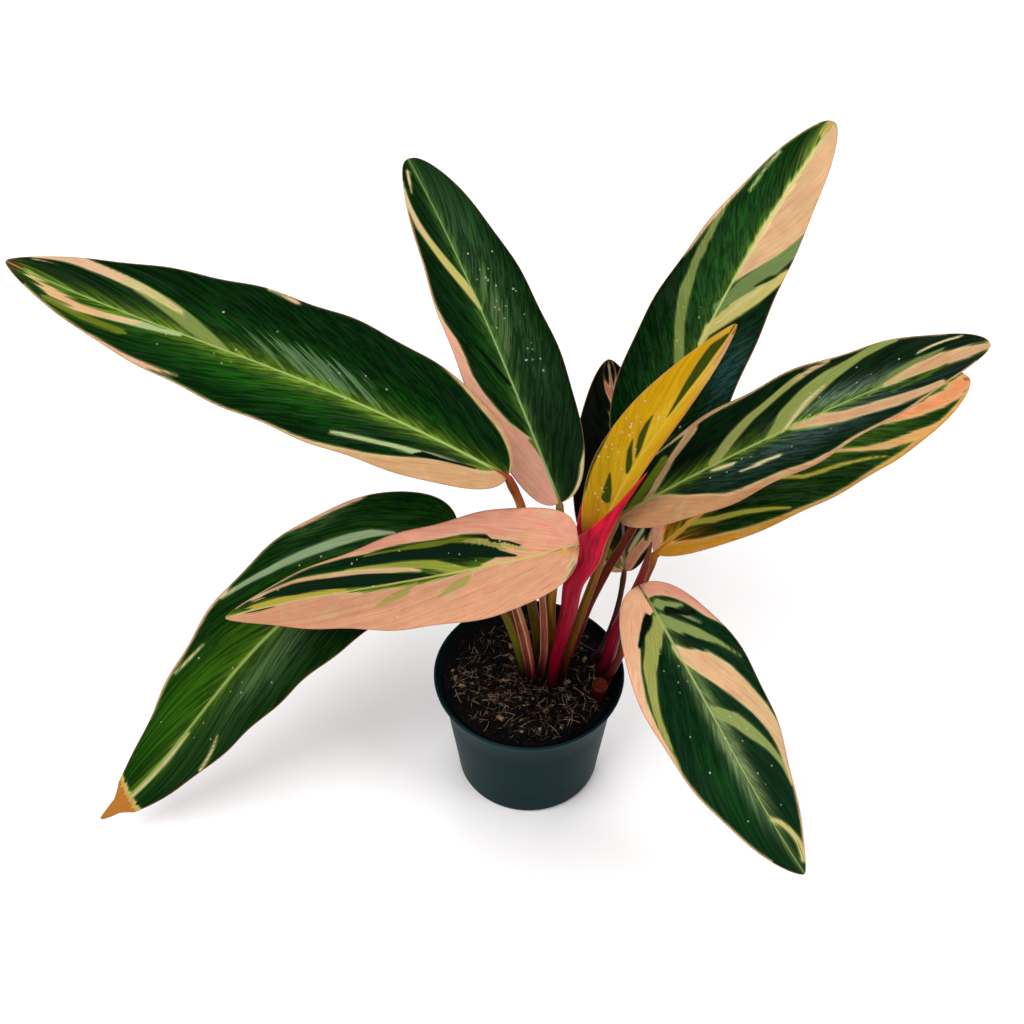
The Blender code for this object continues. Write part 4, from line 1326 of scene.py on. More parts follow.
    def build(self, face: Material, underside: Material) -> None:
        """Make the blade and hand it over.

        Args:
            face, underside: The materials of its two faces.
        """
        g, paint = self.growth, self.painting
        s, t = self.grid()
        flat = self.plane(s.ravel(), t.ravel())
        points = self.faces(s, t, flat.vein.reshape(s.shape))
        made = Builder.mesh("blade_" + g.name, points, Builder.shell_faces(*s.shape), (face, underside))
        quads = (s.shape[0] - 1) * (s.shape[1] - 1)
        index = np.zeros(len(made.data.polygons), dtype=np.int32)
        index[quads:2 * quads] = 1
        made.data.polygons.foreach_set("material_index", index)
        chart = np.stack([flat.vein, flat.t * flat.width], axis=1) / CHART_UNIT
        Builder.chart(made, "vein", np.tile(chart, (2, 1)))
        share, comb = np.zeros(len(flat.s)), np.zeros((len(flat.s), 3))
        for feather in paint.feathers:
            amount = feather.share(flat)
            comb[amount > share] = feather.colour
            share = np.maximum(share, amount)
        from_rib = np.abs(flat.t) * flat.width
        ribbing = from_rib - np.interp(flat.s, (0, 0.5, 1), paint.rib_width) + 5.0 * (flat.s > paint.dry)
        carried = {"feather": share, "feather_colour": comb, "ground": self.ground(flat), "rib": ribbing,
                   "rib_colour": np.tile(np.array(paint.rib), (len(flat.s), 1)),
                   "margin": (1 - np.abs(flat.t)) * flat.width,
                   "mottling": np.full(len(flat.s), paint.mottling)}
        for name, marks in (("band", paint.bands), ("flush", paint.flushes), ("ink", paint.inks)):
            carried[name], carried[name + "_colour"] = self.layer(marks, flat)
        for name, values in carried.items():
            Builder.carry(made, name, np.concatenate([values, values]))
        Builder.hand_over(made, "leaf", "leaf_" + g.name)


def spline(points: Array, place: float) -> Array:
    """A smooth curve through points, which leaves the first one upright.

    Args:
        points: The points.
        place: Where it is read, from 0 to 1.
    Returns:
        The point there.
    """
    spot = min(max(place, 0.0), 1.0) * (len(points) - 1)
    index = min(int(spot), len(points) - 2)
    u = spot - index
    a, b = points[index], points[index + 1]
    span = np.linalg.norm(b - a)
    ahead = points[index + 2] if index + 2 < len(points) else b + (b - a)
    leave = np.array([0.0, 0.0, span])
    if index > 0:
        leave = (b - points[index - 1]) / np.linalg.norm(b - points[index - 1]) * span
    arrive = (ahead - a) / np.linalg.norm(ahead - a) * span
    return (a * (2 * u**3 - 3 * u**2 + 1) + leave * (u**3 - 2 * u**2 + u)
            + b * (-2 * u**3 + 3 * u**2) + arrive * (u**3 - u**2))


def capped_quads(rings: int, sides: int) -> tuple[list, list]:
    """Faces of stacked rings of points that two poles close.

    Args:
        rings, sides: How many rings there are, and how many points in each.
    Returns:
        The quads between the rings, then the triangles at the poles, wound towards the last ring.
    """
    index = np.arange(rings * sides).reshape(rings, sides)
    onward = np.roll(index, -1, axis=1)
    quads = np.stack([index[:-1], onward[:-1], onward[1:], index[1:]], axis=-1).reshape(-1, 4).tolist()
    low, high = rings * sides, rings * sides + 1
    caps = [[low, b, a] for a, b in zip(index[0], onward[0])]
    return quads, caps + [[high, a, b] for a, b in zip(index[-1], onward[-1])]


@dataclass
class Tube:
    """A tube along points, with a section that may vary round and along."""
    points: Array
    radii: Array
    sides: int
    section: Callable[[Array, float], Array]

    def build(self, name: str, tints: Array, material: Material) -> Thing:
        """Make the tube with its skin map.

        Args:
            name: The piece's name.
            tints: A colour for each of its rings.
            material: Its material.
        Returns:
            The object.
        """
        count = len(self.points)
        tangents = np.gradient(self.points, axis=0)
        tangents /= np.linalg.norm(tangents, axis=1, keepdims=True)
        across = np.cross(tangents[0], [0.0, 1.0, 0.0])
        angles = np.linspace(0, 2 * np.pi, self.sides, endpoint=False)
        rings = []
        for k in range(count):
            across = across - tangents[k] * np.dot(across, tangents[k])
            across /= np.linalg.norm(across)
            beside = np.cross(tangents[k], across)
            radius = (self.radii[k] * self.section(angles, k / (count - 1)))[:, None]
            outward = np.cos(angles)[:, None] * across + np.sin(angles)[:, None] * beside
            rings.append(self.points[k] + outward * radius)
        points = np.vstack([np.array(rings).reshape(-1, 3), self.points[:1], self.points[-1:]])
        quads, caps = capped_quads(count, self.sides)
        made = Builder.mesh(name, points, quads + caps, (material,))
        steps = np.linalg.norm(np.diff(self.points, axis=0), axis=1)
        reach = np.concatenate([[0], np.cumsum(steps)]) / CHART_UNIT
        skin = np.stack([np.tile(angles / (2 * np.pi), count), np.repeat(reach, self.sides)], axis=1)
        Builder.chart(made, "skin", np.vstack([skin, [[0, 0], [0, reach[-1]]]]))
        rows = np.vstack([np.repeat(tints, self.sides, axis=0), tints[:1], tints[-1:]])
        Builder.carry(made, "tint", rows)
        return made


def ring_tints(heights: Array, shares: Array, stops: Stops) -> Array:
    """Colours along a stem.

    Args:
        heights: Height of each ring.
        shares: Place of each ring from 0 to 1.
        stops: Colours by place.
    Returns:
        A colour for each ring, darkened by painted shade where the stem leaves the soil.
    """
    places, colours = zip(*stops)
    rows = np.stack([np.interp(shares, places, channel) for channel in zip(*colours)], axis=1)
    # painted shade over the lowest 30 mm of each stem
    out_of_shade = np.clip((heights - SOIL_LINE) / 30, 0, 1)[:, None] ** 0.7
    return rows * out_of_shade + np.array(STEM_FOOT_SHADE) * (1 - out_of_shade)


@dataclass
class Petiole:
    """A leaf's stalk, which runs on a little way under the midrib."""
    leaf: Leaf
    stops: Stops
    rings: int = 70
    run_on: float = 14.0
    knee: float = 0.16       # how much thicker the stalk is at its knee
    knee_at: float = 0.86
    joint: float = 0.93      # where the stalk meets the blade

    def build(self, material: Material) -> None:
        """Make the stalk and hand it over.

        Args:
            material: Its material.
        """
        g = self.leaf.growth
        way = np.array([(*g.foot, FOOT_TOP), *g.way, g.base], dtype=float)
        path = [np.array([*g.foot, FOOT_LOW])] + [spline(way, k / self.rings) for k in range(self.rings)]
        thick, thin = g.girth
        radii = [thick] + [thick + (thin - thick) * (k / self.rings)**0.8 for k in range(self.rings)]
        shares = [0.0] + [self.joint * k / self.rings for k in range(self.rings)]
        radii = [radius * (1 + self.knee * math.exp(-((share - self.knee_at) / 0.045)**2))
                 for radius, share in zip(radii, shares)]
        steps = np.linspace(0.15, 1, 8)
        s = steps * self.run_on / g.length
        above, line = self.leaf.frame_at(s)[2], self.leaf.midrib(s)
        for k, step in enumerate(steps):
            radius = thin * (1 - 0.62 * step)
            path.append(line[k] - above[k] * (radius * 0.55 + 0.4))
            radii.append(radius)
            shares.append(self.joint + (1 - self.joint) * step)
        points = np.array(path)
        tints = ring_tints(points[:, 2], np.array(shares), self.stops)
        made = Tube(points, np.array(radii), 18, self.channel).build("petiole_" + g.name, tints, material)
        Builder.hand_over(made, "stalk", "stalk_" + g.name)

    @staticmethod
    def channel(angle: Array, _share: float) -> Array:
        """Section of the stalk: round, with a shallow channel."""
        turned = np.minimum(np.abs(angle - np.pi / 2), 2 * np.pi - np.abs(angle - np.pi / 2))
        return 1 - 0.14 * np.exp(-(turned / 0.5)**2) + 0.02 * np.cos(6 * angle)


@dataclass
class Wrap:
    """A rolled sheath: a sheet round a path, with an uneven mouth and a papery edge."""
    key: str
    foot: Pair
    way: tuple[Triple, ...]
    sections: tuple[tuple[float, ...], ...]  # width, depth, shift and lift
    arc: Pair         # from which angle to which the sheet goes round
    mouth: tuple[float, ...]         # how high it stands round the mouth
    tints: Stops
    edge_tint: Colour
    columns: int
    rows: int = 80
    slot: str = "pink"
    facing: float = 0.0
    thickness: float = 0.5
    foot_share: float = 0.08

    def build(self, material: Material) -> None:
        """Make the sheath and hand it over.

        Args:
            material: Its material.
        """
        across = np.linspace(0, 1, self.columns + 1)
        reach = np.linspace(0, 1, len(self.mouth))
        tops = [self.soft(reach, self.mouth, share) for share in across]
        places = np.maximum(0.0, np.linspace(0, 1, self.rows + 1) - self.foot_share)[:, None]
        places = places / (1 - self.foot_share) * np.array(tops)
        grid = self.sheet(places)
        normal = grid_normals(grid)
        thin = np.full(places.shape, self.thickness / 2)
        thin[-1, :] = thin[:, 0] = thin[:, -1] = self.thickness / 6
        sides = (grid + normal * thin[..., None], grid - normal * thin[..., None])
        points = np.concatenate([side.reshape(-1, 3) for side in sides])
        made = Builder.mesh("wrap_" + self.key, points, Builder.shell_faces(*places.shape), (material,))
        around = np.tile(across, (self.rows + 1, 1))
        skin = np.stack([around.ravel(), places.ravel() * 2.5], axis=1)
        Builder.chart(made, "skin", np.tile(skin, (2, 1)))
        heights = grid[:, :, 2].ravel()
        below = (self.rows - np.arange(self.rows + 1))[:, None] / 4.0
        rim = np.minimum(np.minimum(around, 1 - around) * self.columns / 3.0, below).ravel()
        papery = (1 - np.clip(rim, 0, 1)) * np.clip((heights - 100) / 15, 0, 1)
        tints = ring_tints(heights, places.ravel(), self.tints) * (1 - papery[:, None])
        tints = tints + np.array(self.edge_tint) * papery[:, None]
        Builder.carry(made, "tint", np.tile(tints, (2, 1)))
        Builder.hand_over(made, self.slot, "sheath_" + self.key)

    def sheet(self, places: Array) -> Array:
        """Points of the sheet's middle surface.

        Args:
            places: How far up the path each of them lies, a row for each line round the sheath.
        Returns:
            The points, in the same rows.
        """
        path = np.array([(*self.foot, FOOT_TOP), *self.way], dtype=float)
        sections = np.array(self.sections, dtype=float)
        known = np.linspace(0, 1, len(sections))
        turn = math.radians(self.facing)
        grid = np.empty((*places.shape, 3))
        for (i, j), place in np.ndenumerate(places):
            u = i / self.rows
            angle = math.radians(self.arc[0] + (self.arc[1] - self.arc[0]) * j / self.columns)
            centre = spline(path, place)
            tangent = spline(path, min(1, place + 0.01)) - spline(path, max(0, place - 0.01))
            if u < self.foot_share:
                centre = np.array([*self.foot, FOOT_LOW + (FOOT_TOP - FOOT_LOW) * u / self.foot_share])
                tangent = np.array([0.0, 0.0, 1.0])
            tangent /= np.linalg.norm(tangent)
            ahead = np.array([1.0, 0.0, 0.0]) - tangent * tangent[0]
            ahead /= np.linalg.norm(ahead)
            wide = ahead * math.cos(turn) + np.cross(tangent, ahead) * math.sin(turn)
            size, depth, shift, lift = (self.soft(known, column, place) for column in sections.T)
            grid[i, j] = (centre + wide * (size * math.cos(angle) + shift)
                          + np.cross(wide, tangent) * (depth * math.sin(angle) + lift))
        return grid

    @staticmethod
    def soft(known: Sequence[float], values: Sequence[float], place: float) -> float:
        """Values by place, read with rounded corners."""
        reads = [np.interp(place + shift, known, values) for shift in (-0.02, 0, 0.02)]
        return float(reads[0] * 0.25 + reads[1] * 0.5 + reads[2] * 0.25)


@dataclass
class Lathe:
    """A solid turned from a profile of (radius, height) that runs from the axis to the axis."""
    profile: tuple[Pair, ...]
    steps: int
    centre: Pair = (0.0, 0.0)

    def build(self, name: str, material: Material) -> Thing:
        """Make the turned mesh, with closed poles.

        Args:
            name: The piece's name.
            material: Its material.
        Returns:
            The object.
        """
        inner = np.array(self.profile[1:-1], dtype=float)
        angles = np.linspace(0, 2 * np.pi, self.steps, endpoint=False)
        rings = np.stack([np.outer(inner[:, 0], np.cos(angles)), np.outer(inner[:, 0], np.sin(angles)),
                          np.repeat(inner[:, 1:2], self.steps, axis=1)], axis=-1)
        poles = [[0, 0, self.profile[0][1]], [0, 0, self.profile[-1][1]]]
        points = np.vstack([rings.reshape(-1, 3), poles]) + np.array([*self.centre, 0.0])
        quads, caps = capped_quads(len(inner), self.steps)
        faces = [[face[0], *face[:0:-1]] for face in quads + caps]
        return Builder.mesh(name, points, faces, (material,))


@dataclass
class Pot:
    """The nursery pot: tapered wall, collar, rolled rim and drained base."""
    height: float = 88.0
    rim_radius: float = 60.0
    collar_radius: float = 57.8
    collar_depth: float = 7.0
    wall_top: float = 54.6
    base_radius: float = 45.5
    wall: float = 1.0
    rim_lip: float = 1.8
    rim_round: float = 0.9
    base_round: float = 3.4
    floor: float = 0.7       # height of the base's underside
    drains: int = 6
    drain_radius: float = 4.0
    drain_ring: float = 27.0

    @property
    def bend(self) -> float:
        """Height at which the wall steps out into the collar."""
        return self.height - self.collar_depth

    def profile(self) -> tuple[Pair, ...]:
        """The section.

        Returns:
            Its (radius, height), from the inside of the base over the rim and back under the base.
        """
        bend, wall, low = self.bend, self.wall, self.base_radius - self.wall
        rim, collar, top = self.rim_radius, self.collar_radius, self.wall_top
        bead, base, bow = self.rim_round, self.base_radius, self.base_round
        rolled = [(rim - bead * (1 - math.cos(a)), self.height - bead * (1 - math.sin(a)))
                  for a in np.linspace(math.pi * 0.95, -0.6, 9)]
        corner = [(base - bow * (1 - math.cos(a)), bow * (1 + math.sin(a)))
                  for a in np.linspace(-0.06, -math.pi / 2, 9)]
        inside = ((0, wall), (12, wall), (30, wall), (low - 3, wall), (low - 0.6, 2.4), (low + 0.3, 5.0),
                  (top - wall, bend - 0.6), (top - wall + 0.5, bend),
                  (rim - self.rim_lip - 0.5, self.height - 1.6))
        outside = ((rim - 0.25, self.height - 2.2), (collar + 0.5, bend + 1.6), (collar + 0.1, bend + 0.7),
                   (collar - 0.3, bend + 0.15), (collar - 1.0, bend), (top + 0.5, bend - 0.1),
                   (top, bend - 0.7), (top - 2.2, bend - 20), (top - 4.6, bend - 40), (base + 1.4, 16))
        under = ((base - 6, 0.15), *((radius, self.floor) for radius in (base - 7, 30, 12, 0)))
        return (*inside, *rolled, *outside, *corner, *under)

    def build(self, material: Material) -> None:
        """Make the pot, cut its drains and hand it over.

        Args:
            material: Its material.
        """
        shell = Lathe(self.profile(), 160).build("pot_shell", material)
        radius = self.drain_radius * MM
        bm = bmesh.new()
        for k in range(self.drains):
            angle = 2 * math.pi * k / self.drains
            made = bmesh.ops.create_cone(bm, cap_ends=True, segments=32, radius1=radius, radius2=radius,
                                         depth=6 * MM)
            spot = Vector((math.cos(angle), math.sin(angle), 0)) * self.drain_ring * MM
            bmesh.ops.translate(bm, verts=made["verts"], vec=spot)
        punch = bpy.data.meshes.new("drain_punch")
        bm.to_mesh(punch)
        bm.free()
        cutter = Builder.put("drain_punch", punch)
        slot = shell.modifiers.new("drains", "BOOLEAN")
        slot.operation = "DIFFERENCE"
        slot.object = cutter
        cut = Builder.evaluated(shell)
        shell.modifiers.clear()
        shell.data = cut
        bpy.data.objects.remove(cutter, do_unlink=True)
        Builder.hand_over(shell, "pot", "pot")


class Scatter:
    """A Geometry Nodes tree in the making: points on faces, shapes on the points, then plain mesh."""

    def __init__(self, name: str, *floats: str) -> None:
        """Start the tree with its named inputs.

        Args:
            name: The tree's name.
            floats: Names of its inputs that are numbers, beside the mesh, the seed and the material.
        """
        self.tree = bpy.data.node_groups.new(name, "GeometryNodeTree")
        inputs = (("Geometry", "Geometry"), *((key, "Float") for key in floats), ("Seed", "Int"),
                  ("Material", "Material"))
        for key, kind in inputs:
            self.tree.interface.new_socket(key, in_out="INPUT", socket_type="NodeSocket" + kind)
        self.tree.interface.new_socket("Geometry", in_out="OUTPUT", socket_type="NodeSocketGeometry")
        self.entry = self.tree.nodes.new("NodeGroupInput").outputs

    def node(self, kind: str, settings: dict | None = None, **sockets: Any) -> Any:
        """Add a node.

        Args:
            kind: The node's type.
            settings: Its settings, which are set first.
            sockets: Values or sockets for its inputs, by name with _ for a space, or by i and number.
        Returns:
            Its outputs.
        """
        made = self.tree.nodes.new(kind)
        for key, value in (settings or {}).items():
            setattr(made, key, value)
        for key, value in sockets.items():
            numbered = key[0] == "i" and key[1:].isdigit()
            socket = made.inputs[int(key[1:]) if numbered else key.replace("_", " ")]
            if isinstance(value, Socket):
                self.tree.links.new(value, socket)
            else:
                socket.default_value = value
        return made.outputs

    def random(self, kind: str, low: Any, high: Any) -> Socket:
        """Random values that differ from point to point.

        Args:
            kind: FLOAT or FLOAT_VECTOR.
            low, high: Their limits.
        Returns:
            The socket that gives them.
        """
        first, out = (2, 1) if kind == "FLOAT" else (0, 0)
        limits = {f"i{first}": low, f"i{first + 1}": high}
        return self.node("FunctionNodeRandomValue", {"data_type": kind}, Seed=self.entry["Seed"],
                         **limits)[out]

    def finish(self, points: Socket, shape: Socket,
               rotation: Socket, scale: Socket) -> Tree:
        """Put a shape on each point and end the tree with plain mesh in its material.

        Args:
            points: The points.
            shape: The shape that is repeated.
            rotation, scale: How each is turned and how large it is.
        Returns:
            The finished tree.
        """
        put = self.node("GeometryNodeInstanceOnPoints", Points=points, Instance=shape, Rotation=rotation,
                        Scale=scale)
        real = self.node("GeometryNodeRealizeInstances", Geometry=put["Instances"])
        dress = self.node("GeometryNodeSetMaterial", Geometry=real["Geometry"],
                          Material=self.entry["Material"])
        self.node("NodeGroupOutput", Geometry=dress["Geometry"])
        return self.tree

    @staticmethod
    def lay(name: str, carrier: Thing, tree: Tree, **values: Any) -> Thing:
        """Lay a tree's shapes on a carrier, which is then removed.

        Args:
            name: The new piece's name.
            carrier: The object on whose faces they lie.
            tree: The finished tree.
            values: The tree's inputs.
        Returns:
            The piece, as a plain mesh.
        """
        strew = carrier.modifiers.new("strew", "NODES")
        strew.node_group = tree
        for item in tree.interface.items_tree:
            if item.in_out == "INPUT" and item.name in values:
                strew[item.identifier] = values[item.name]
        mesh = Builder.evaluated(carrier)
        bpy.data.objects.remove(carrier, do_unlink=True)
        mesh.name = name
        mesh.materials.clear()
        mesh.materials.append(values["Material"])
        return Builder.put(name, mesh)


class LitterShape(Enum):
    """What is strewn on the soil."""
    FIBRE = "fibre"
    CRUMB = "crumb"
    CHIP = "chip"


@dataclass
class Litter:
    """Small shapes strewn over the soil's top by Geometry Nodes."""
    shape: LitterShape
    count: int
    size: float
    seed: int
    reach: float             # how far from the pot's axis they lie
    length: float = 5.8      # half the length of a fibre
    fibre_radius: float = 0.31
    crumb_radius: float = 0.62
    chip_size: Triple = (3.4, 1.9, 0.8)
    strewn_radius: float = 54.5

    def source(self, scatter: Scatter) -> Socket:
        """The shape that is repeated.

        Args:
            scatter: The tree in the making.
        Returns:
            The socket that gives the shape.
        """
        if self.shape is LitterShape.CRUMB:
            return scatter.node("GeometryNodeMeshIcoSphere", Subdivisions=1,
                                Radius=self.crumb_radius * MM)["Mesh"]
        if self.shape is LitterShape.CHIP:
            size = tuple(side * MM for side in self.chip_size)
            return scatter.node("GeometryNodeMeshCube", Size=size)["Mesh"]
        half, lift = self.length * MM, 0.1 * MM
        curve = scatter.node("GeometryNodeCurveQuadraticBezier", Resolution=5, Start=(-half, 0, lift),
                             Middle=(0.0, half * 0.45, half * 0.2), End=(half, half * 0.07, lift))
        radius = scatter.node("ShaderNodeMath", {"operation": "MULTIPLY"}, i0=scatter.entry["Size"],
                              i1=self.fibre_radius * MM)
        ring = scatter.node("GeometryNodeCurvePrimitiveCircle", Resolution=3, Radius=radius[0])
        return scatter.node("GeometryNodeCurveToMesh", Curve=curve["Curve"], Profile_Curve=ring["Curve"],
                            Fill_Caps=True)["Mesh"]

    def tree(self) -> Tree:
        """The node tree, which lays the shapes on the faces that are high and near enough.

        Returns:
            The tree.
        """
        scatter = Scatter("strew_" + self.shape.value, "Density", "Size", "Lowest", "Reach")
        entry = scatter.entry
        split = scatter.node("ShaderNodeSeparateXYZ", i0=scatter.node("GeometryNodeInputPosition")[0])
        above = scatter.node("FunctionNodeCompare", {"operation": "GREATER_THAN"}, i0=split["Z"],
                             i1=entry["Lowest"])
        flat = scatter.node("ShaderNodeCombineXYZ", X=split["X"], Y=split["Y"])
        radius = scatter.node("ShaderNodeVectorMath", {"operation": "LENGTH"}, i0=flat[0])
        within = scatter.node("FunctionNodeCompare", {"operation": "LESS_THAN"}, i0=radius["Value"],
                              i1=entry["Reach"])
        both = scatter.node("FunctionNodeBooleanMath", {"operation": "AND"}, i0=above[0], i1=within[0])
        spread = scatter.node("GeometryNodeDistributePointsOnFaces", Mesh=entry["Geometry"],
                              Selection=both[0], Density=entry["Density"], Seed=entry["Seed"])
        lean = 0.35 if self.shape is LitterShape.FIBRE else 0.8
        turn = scatter.random("FLOAT_VECTOR", (-lean, -lean, 0), (lean, lean, 2 * math.pi))
        scale = scatter.random("FLOAT", 0.45, 1.6)
        return scatter.finish(spread["Points"], self.source(scatter), turn, scale)

    def build(self, name: str, ground: Thing, lowest: float, material: Material) -> None:
        """Strew the shapes over an object's top and hand them over.

        Args:
            name: The new piece's name.
            ground: The object that they lie on.
            lowest: Height above which they lie.
            material: Their material.
        """
        carrier = Builder.put(name + "_carrier", ground.data.copy())
        area = math.pi * (self.strewn_radius * MM)**2
        made = Scatter.lay(name, carrier, self.tree(), Density=self.count / area, Size=self.size,
                           Lowest=lowest * MM, Reach=self.reach * MM, Seed=self.seed, Material=material)
        Builder.hand_over(made, "soil")


@dataclass
class Soil:
    """The potting soil: a rough top over a plain body, with fibres and crumbs strewn on it."""
    pot: Pot
    top: float = 83.0
    mound: float = 1.2
    clearance: float = 0.35
    rings: int = 64
    steps: int = 180
    lumps: tuple[Pair, ...] = ((9.0, 0.35), (5.0, 0.3), (2.6, 0.28), (1.4, 0.2))

    def inner(self, height: float) -> float:
        """Radius of the pot's inner wall.

        Args:
            height: The height at which it is measured.
        Returns:
            The radius.
        """
        pot = self.pot
        low, middle = pot.base_radius - pot.wall, pot.wall_top - pot.wall
        if height > pot.bend:
            return middle + (pot.rim_radius - pot.rim_lip - middle) * (height - pot.bend) / pot.collar_depth
        return low + (middle - low) * height / pot.bend

    def height_at(self, x: Array, y: Array) -> Array:
        """Height of the soil's top.

        Args:
            x, y: Places in the plan.
        Returns:
            The height at each.
        """
        reach = np.hypot(x, y) / self.inner(self.top)
        swell = 0.5 * np.sin(x / 7.5 + 1.3) * np.cos(y / 6.5) + 0.35 * np.sin((x + y) / 4.6)
        lumps = np.zeros_like(x)
        rng = np.random.default_rng(7)
        for size, height in self.lumps:
            for _ in range(5):
                angle, phase = rng.uniform(0, 2 * np.pi, 2)
                along = x * math.cos(angle) + y * math.sin(angle)
                beside = x * math.sin(angle) - y * math.cos(angle)
                bent = 1.5 * np.sin(beside * 4 / size)
                lumps += height / 2 * np.sin(along * 2 * np.pi / size + phase + bent)
        return self.top + self.mound * (1 - reach**2) + (swell + lumps) * (1 - reach**6)

    def body(self, material: Material) -> Thing:
        """Make the soil itself.

        Args:
            material: Its material.
        Returns:
            The object.
        """
        edge, bend = self.inner(self.top) - self.clearance, self.pot.bend
        low = self.pot.wall + self.clearance
        top = tuple((edge * k / self.rings, self.top) for k in range(self.rings, -1, -1))
        side = ((0, low), (self.inner(low) - 3, low), (self.inner(low + 3) - self.clearance, low + 3),
                (self.inner(bend) - self.clearance, bend), (edge - 0.3, self.top - 0.6))
        made = Lathe(side + top, self.steps).build("soil_body", material)
        Builder.face_outwards(made)
        rows = Builder.places(made)
        high = rows[:, 2] > (self.top - 0.1) * MM
        rows[high, 2] = self.height_at(rows[high, 0] / MM, rows[high, 1] / MM) * MM
        made.data.vertices.foreach_set("co", rows.ravel())
        made.data.update()
        return made

    def build(self, soil: Material, fibre: Material, crumb: Material, chip: Material) -> None:
        """Make the soil and what is strewn on it, and hand them over.

        Args:
            soil, fibre, crumb, chip: The materials.
        """
        body = self.body(soil)
        litter = (("coir_fibres", Litter(LitterShape.FIBRE, 480, 0.55, 11, 45.5), fibre),
                  ("coir_scraps", Litter(LitterShape.FIBRE, 460, 0.42, 14, 51.5, 2.6), fibre),
                  ("soil_crumbs", Litter(LitterShape.CRUMB, 2600, 0.9, 12, 54.2), crumb),
                  ("bark_chips", Litter(LitterShape.CHIP, 42, 1.2, 13, 51.0), chip))
        for name, kind, material in litter:
            kind.build(name, body, self.top + 0.2, material)
        Builder.hand_over(body, "soil", "soil")


@dataclass(frozen=True)
class Shower:
    """Where dew lies on a leaf, and how many drops to a square centimetre."""
    along: Pair       # between which s
    across: Pair      # between which t
    density: float


SHOWERS = {
    "young_gold": Shower((.16, .66), (-.92, -.12), 1.9),
    "back_left": Shower((.3, .72), (.1, .75), 1.1),
    "left_long": Shower((.2, .8), (-.5, .6), .16),
    "back_right": Shower((.1, .5), (-.6, .6), .22),
    "right_upper": Shower((.2, .8), (-.7, .6), .2),
    "front_pink": Shower((.1, .9), (-.8, .8), .25),
    "front_right": Shower((.1, .8), (-.7, .7), .25),
    "left_drooping": Shower((.2, .8), (-.7, .8), .14),
}


@dataclass
class Dew:
    """Small drops of water on one blade's upper face, laid by Geometry Nodes."""
    leaf: Leaf
    shower: Shower
    size: float = 0.62
    seed: int = 21
    rows: int = 60
    columns: int = 24

    def tree(self, name: str) -> Tree:
        """The node tree, which lays flattened drops on the wet part of the face.

        Args:
            name: The tree's name.
        Returns:
            The tree.
        """
        scatter = Scatter(name, "Density", "Size")
        wet = scatter.node("GeometryNodeInputNamedAttribute", {"data_type": "FLOAT"}, Name="wet")
        amount = scatter.node("ShaderNodeMath", {"operation": "MULTIPLY"}, i0=wet["Attribute"],
                              i1=scatter.entry["Density"])
        spread = scatter.node("GeometryNodeDistributePointsOnFaces", Mesh=scatter.entry["Geometry"],
                              Density=amount[0], Seed=scatter.entry["Seed"])
        drop = scatter.node("GeometryNodeMeshIcoSphere", Subdivisions=2, Radius=scatter.entry["Size"])
        scale = scatter.random("FLOAT_VECTOR", (0.55, 0.55, 0.3), (1.4, 1.4, 0.75))
        return scatter.finish(spread["Points"], drop["Mesh"], spread["Rotation"], scale)

    def build(self, material: Material) -> None:
        """Make the drops and hand them over.

        Args:
            material: Their material.
        """
        s, t = np.meshgrid(np.linspace(*self.shower.along, self.rows),
                           np.linspace(*self.shower.across, self.columns), indexing="ij")
        lift = self.leaf.frame_at(s)[2] * self.leaf.thickness * 0.7
        points = (self.leaf.surface(s, t) + lift).reshape(-1, 3)
        index = np.arange(s.size).reshape(s.shape)
        faces = np.stack([index[:-1, :-1], index[:-1, 1:], index[1:, 1:], index[1:, :-1]], axis=-1)
        name = "dew_" + self.leaf.growth.name
        carrier = Builder.mesh(name + "_carrier", points, faces.reshape(-1, 4).tolist(), (material,))
        down, over = (np.sin(np.linspace(0, np.pi, count))**0.5 for count in s.shape)
        Builder.carry(carrier, "wet", np.outer(down, over).ravel())
        made = Scatter.lay(name, carrier, self.tree(name), Density=self.shower.density / (10 * MM)**2,
                           Size=self.size * MM, Seed=self.seed, Material=material)
        Builder.hand_over(made, "leaf")


@dataclass(frozen=True)
class Lamp:
    """One soft rectangular light: where it stands in metres, its size and its power."""
    name: str
    place: Triple
    size: Pair
    power: float


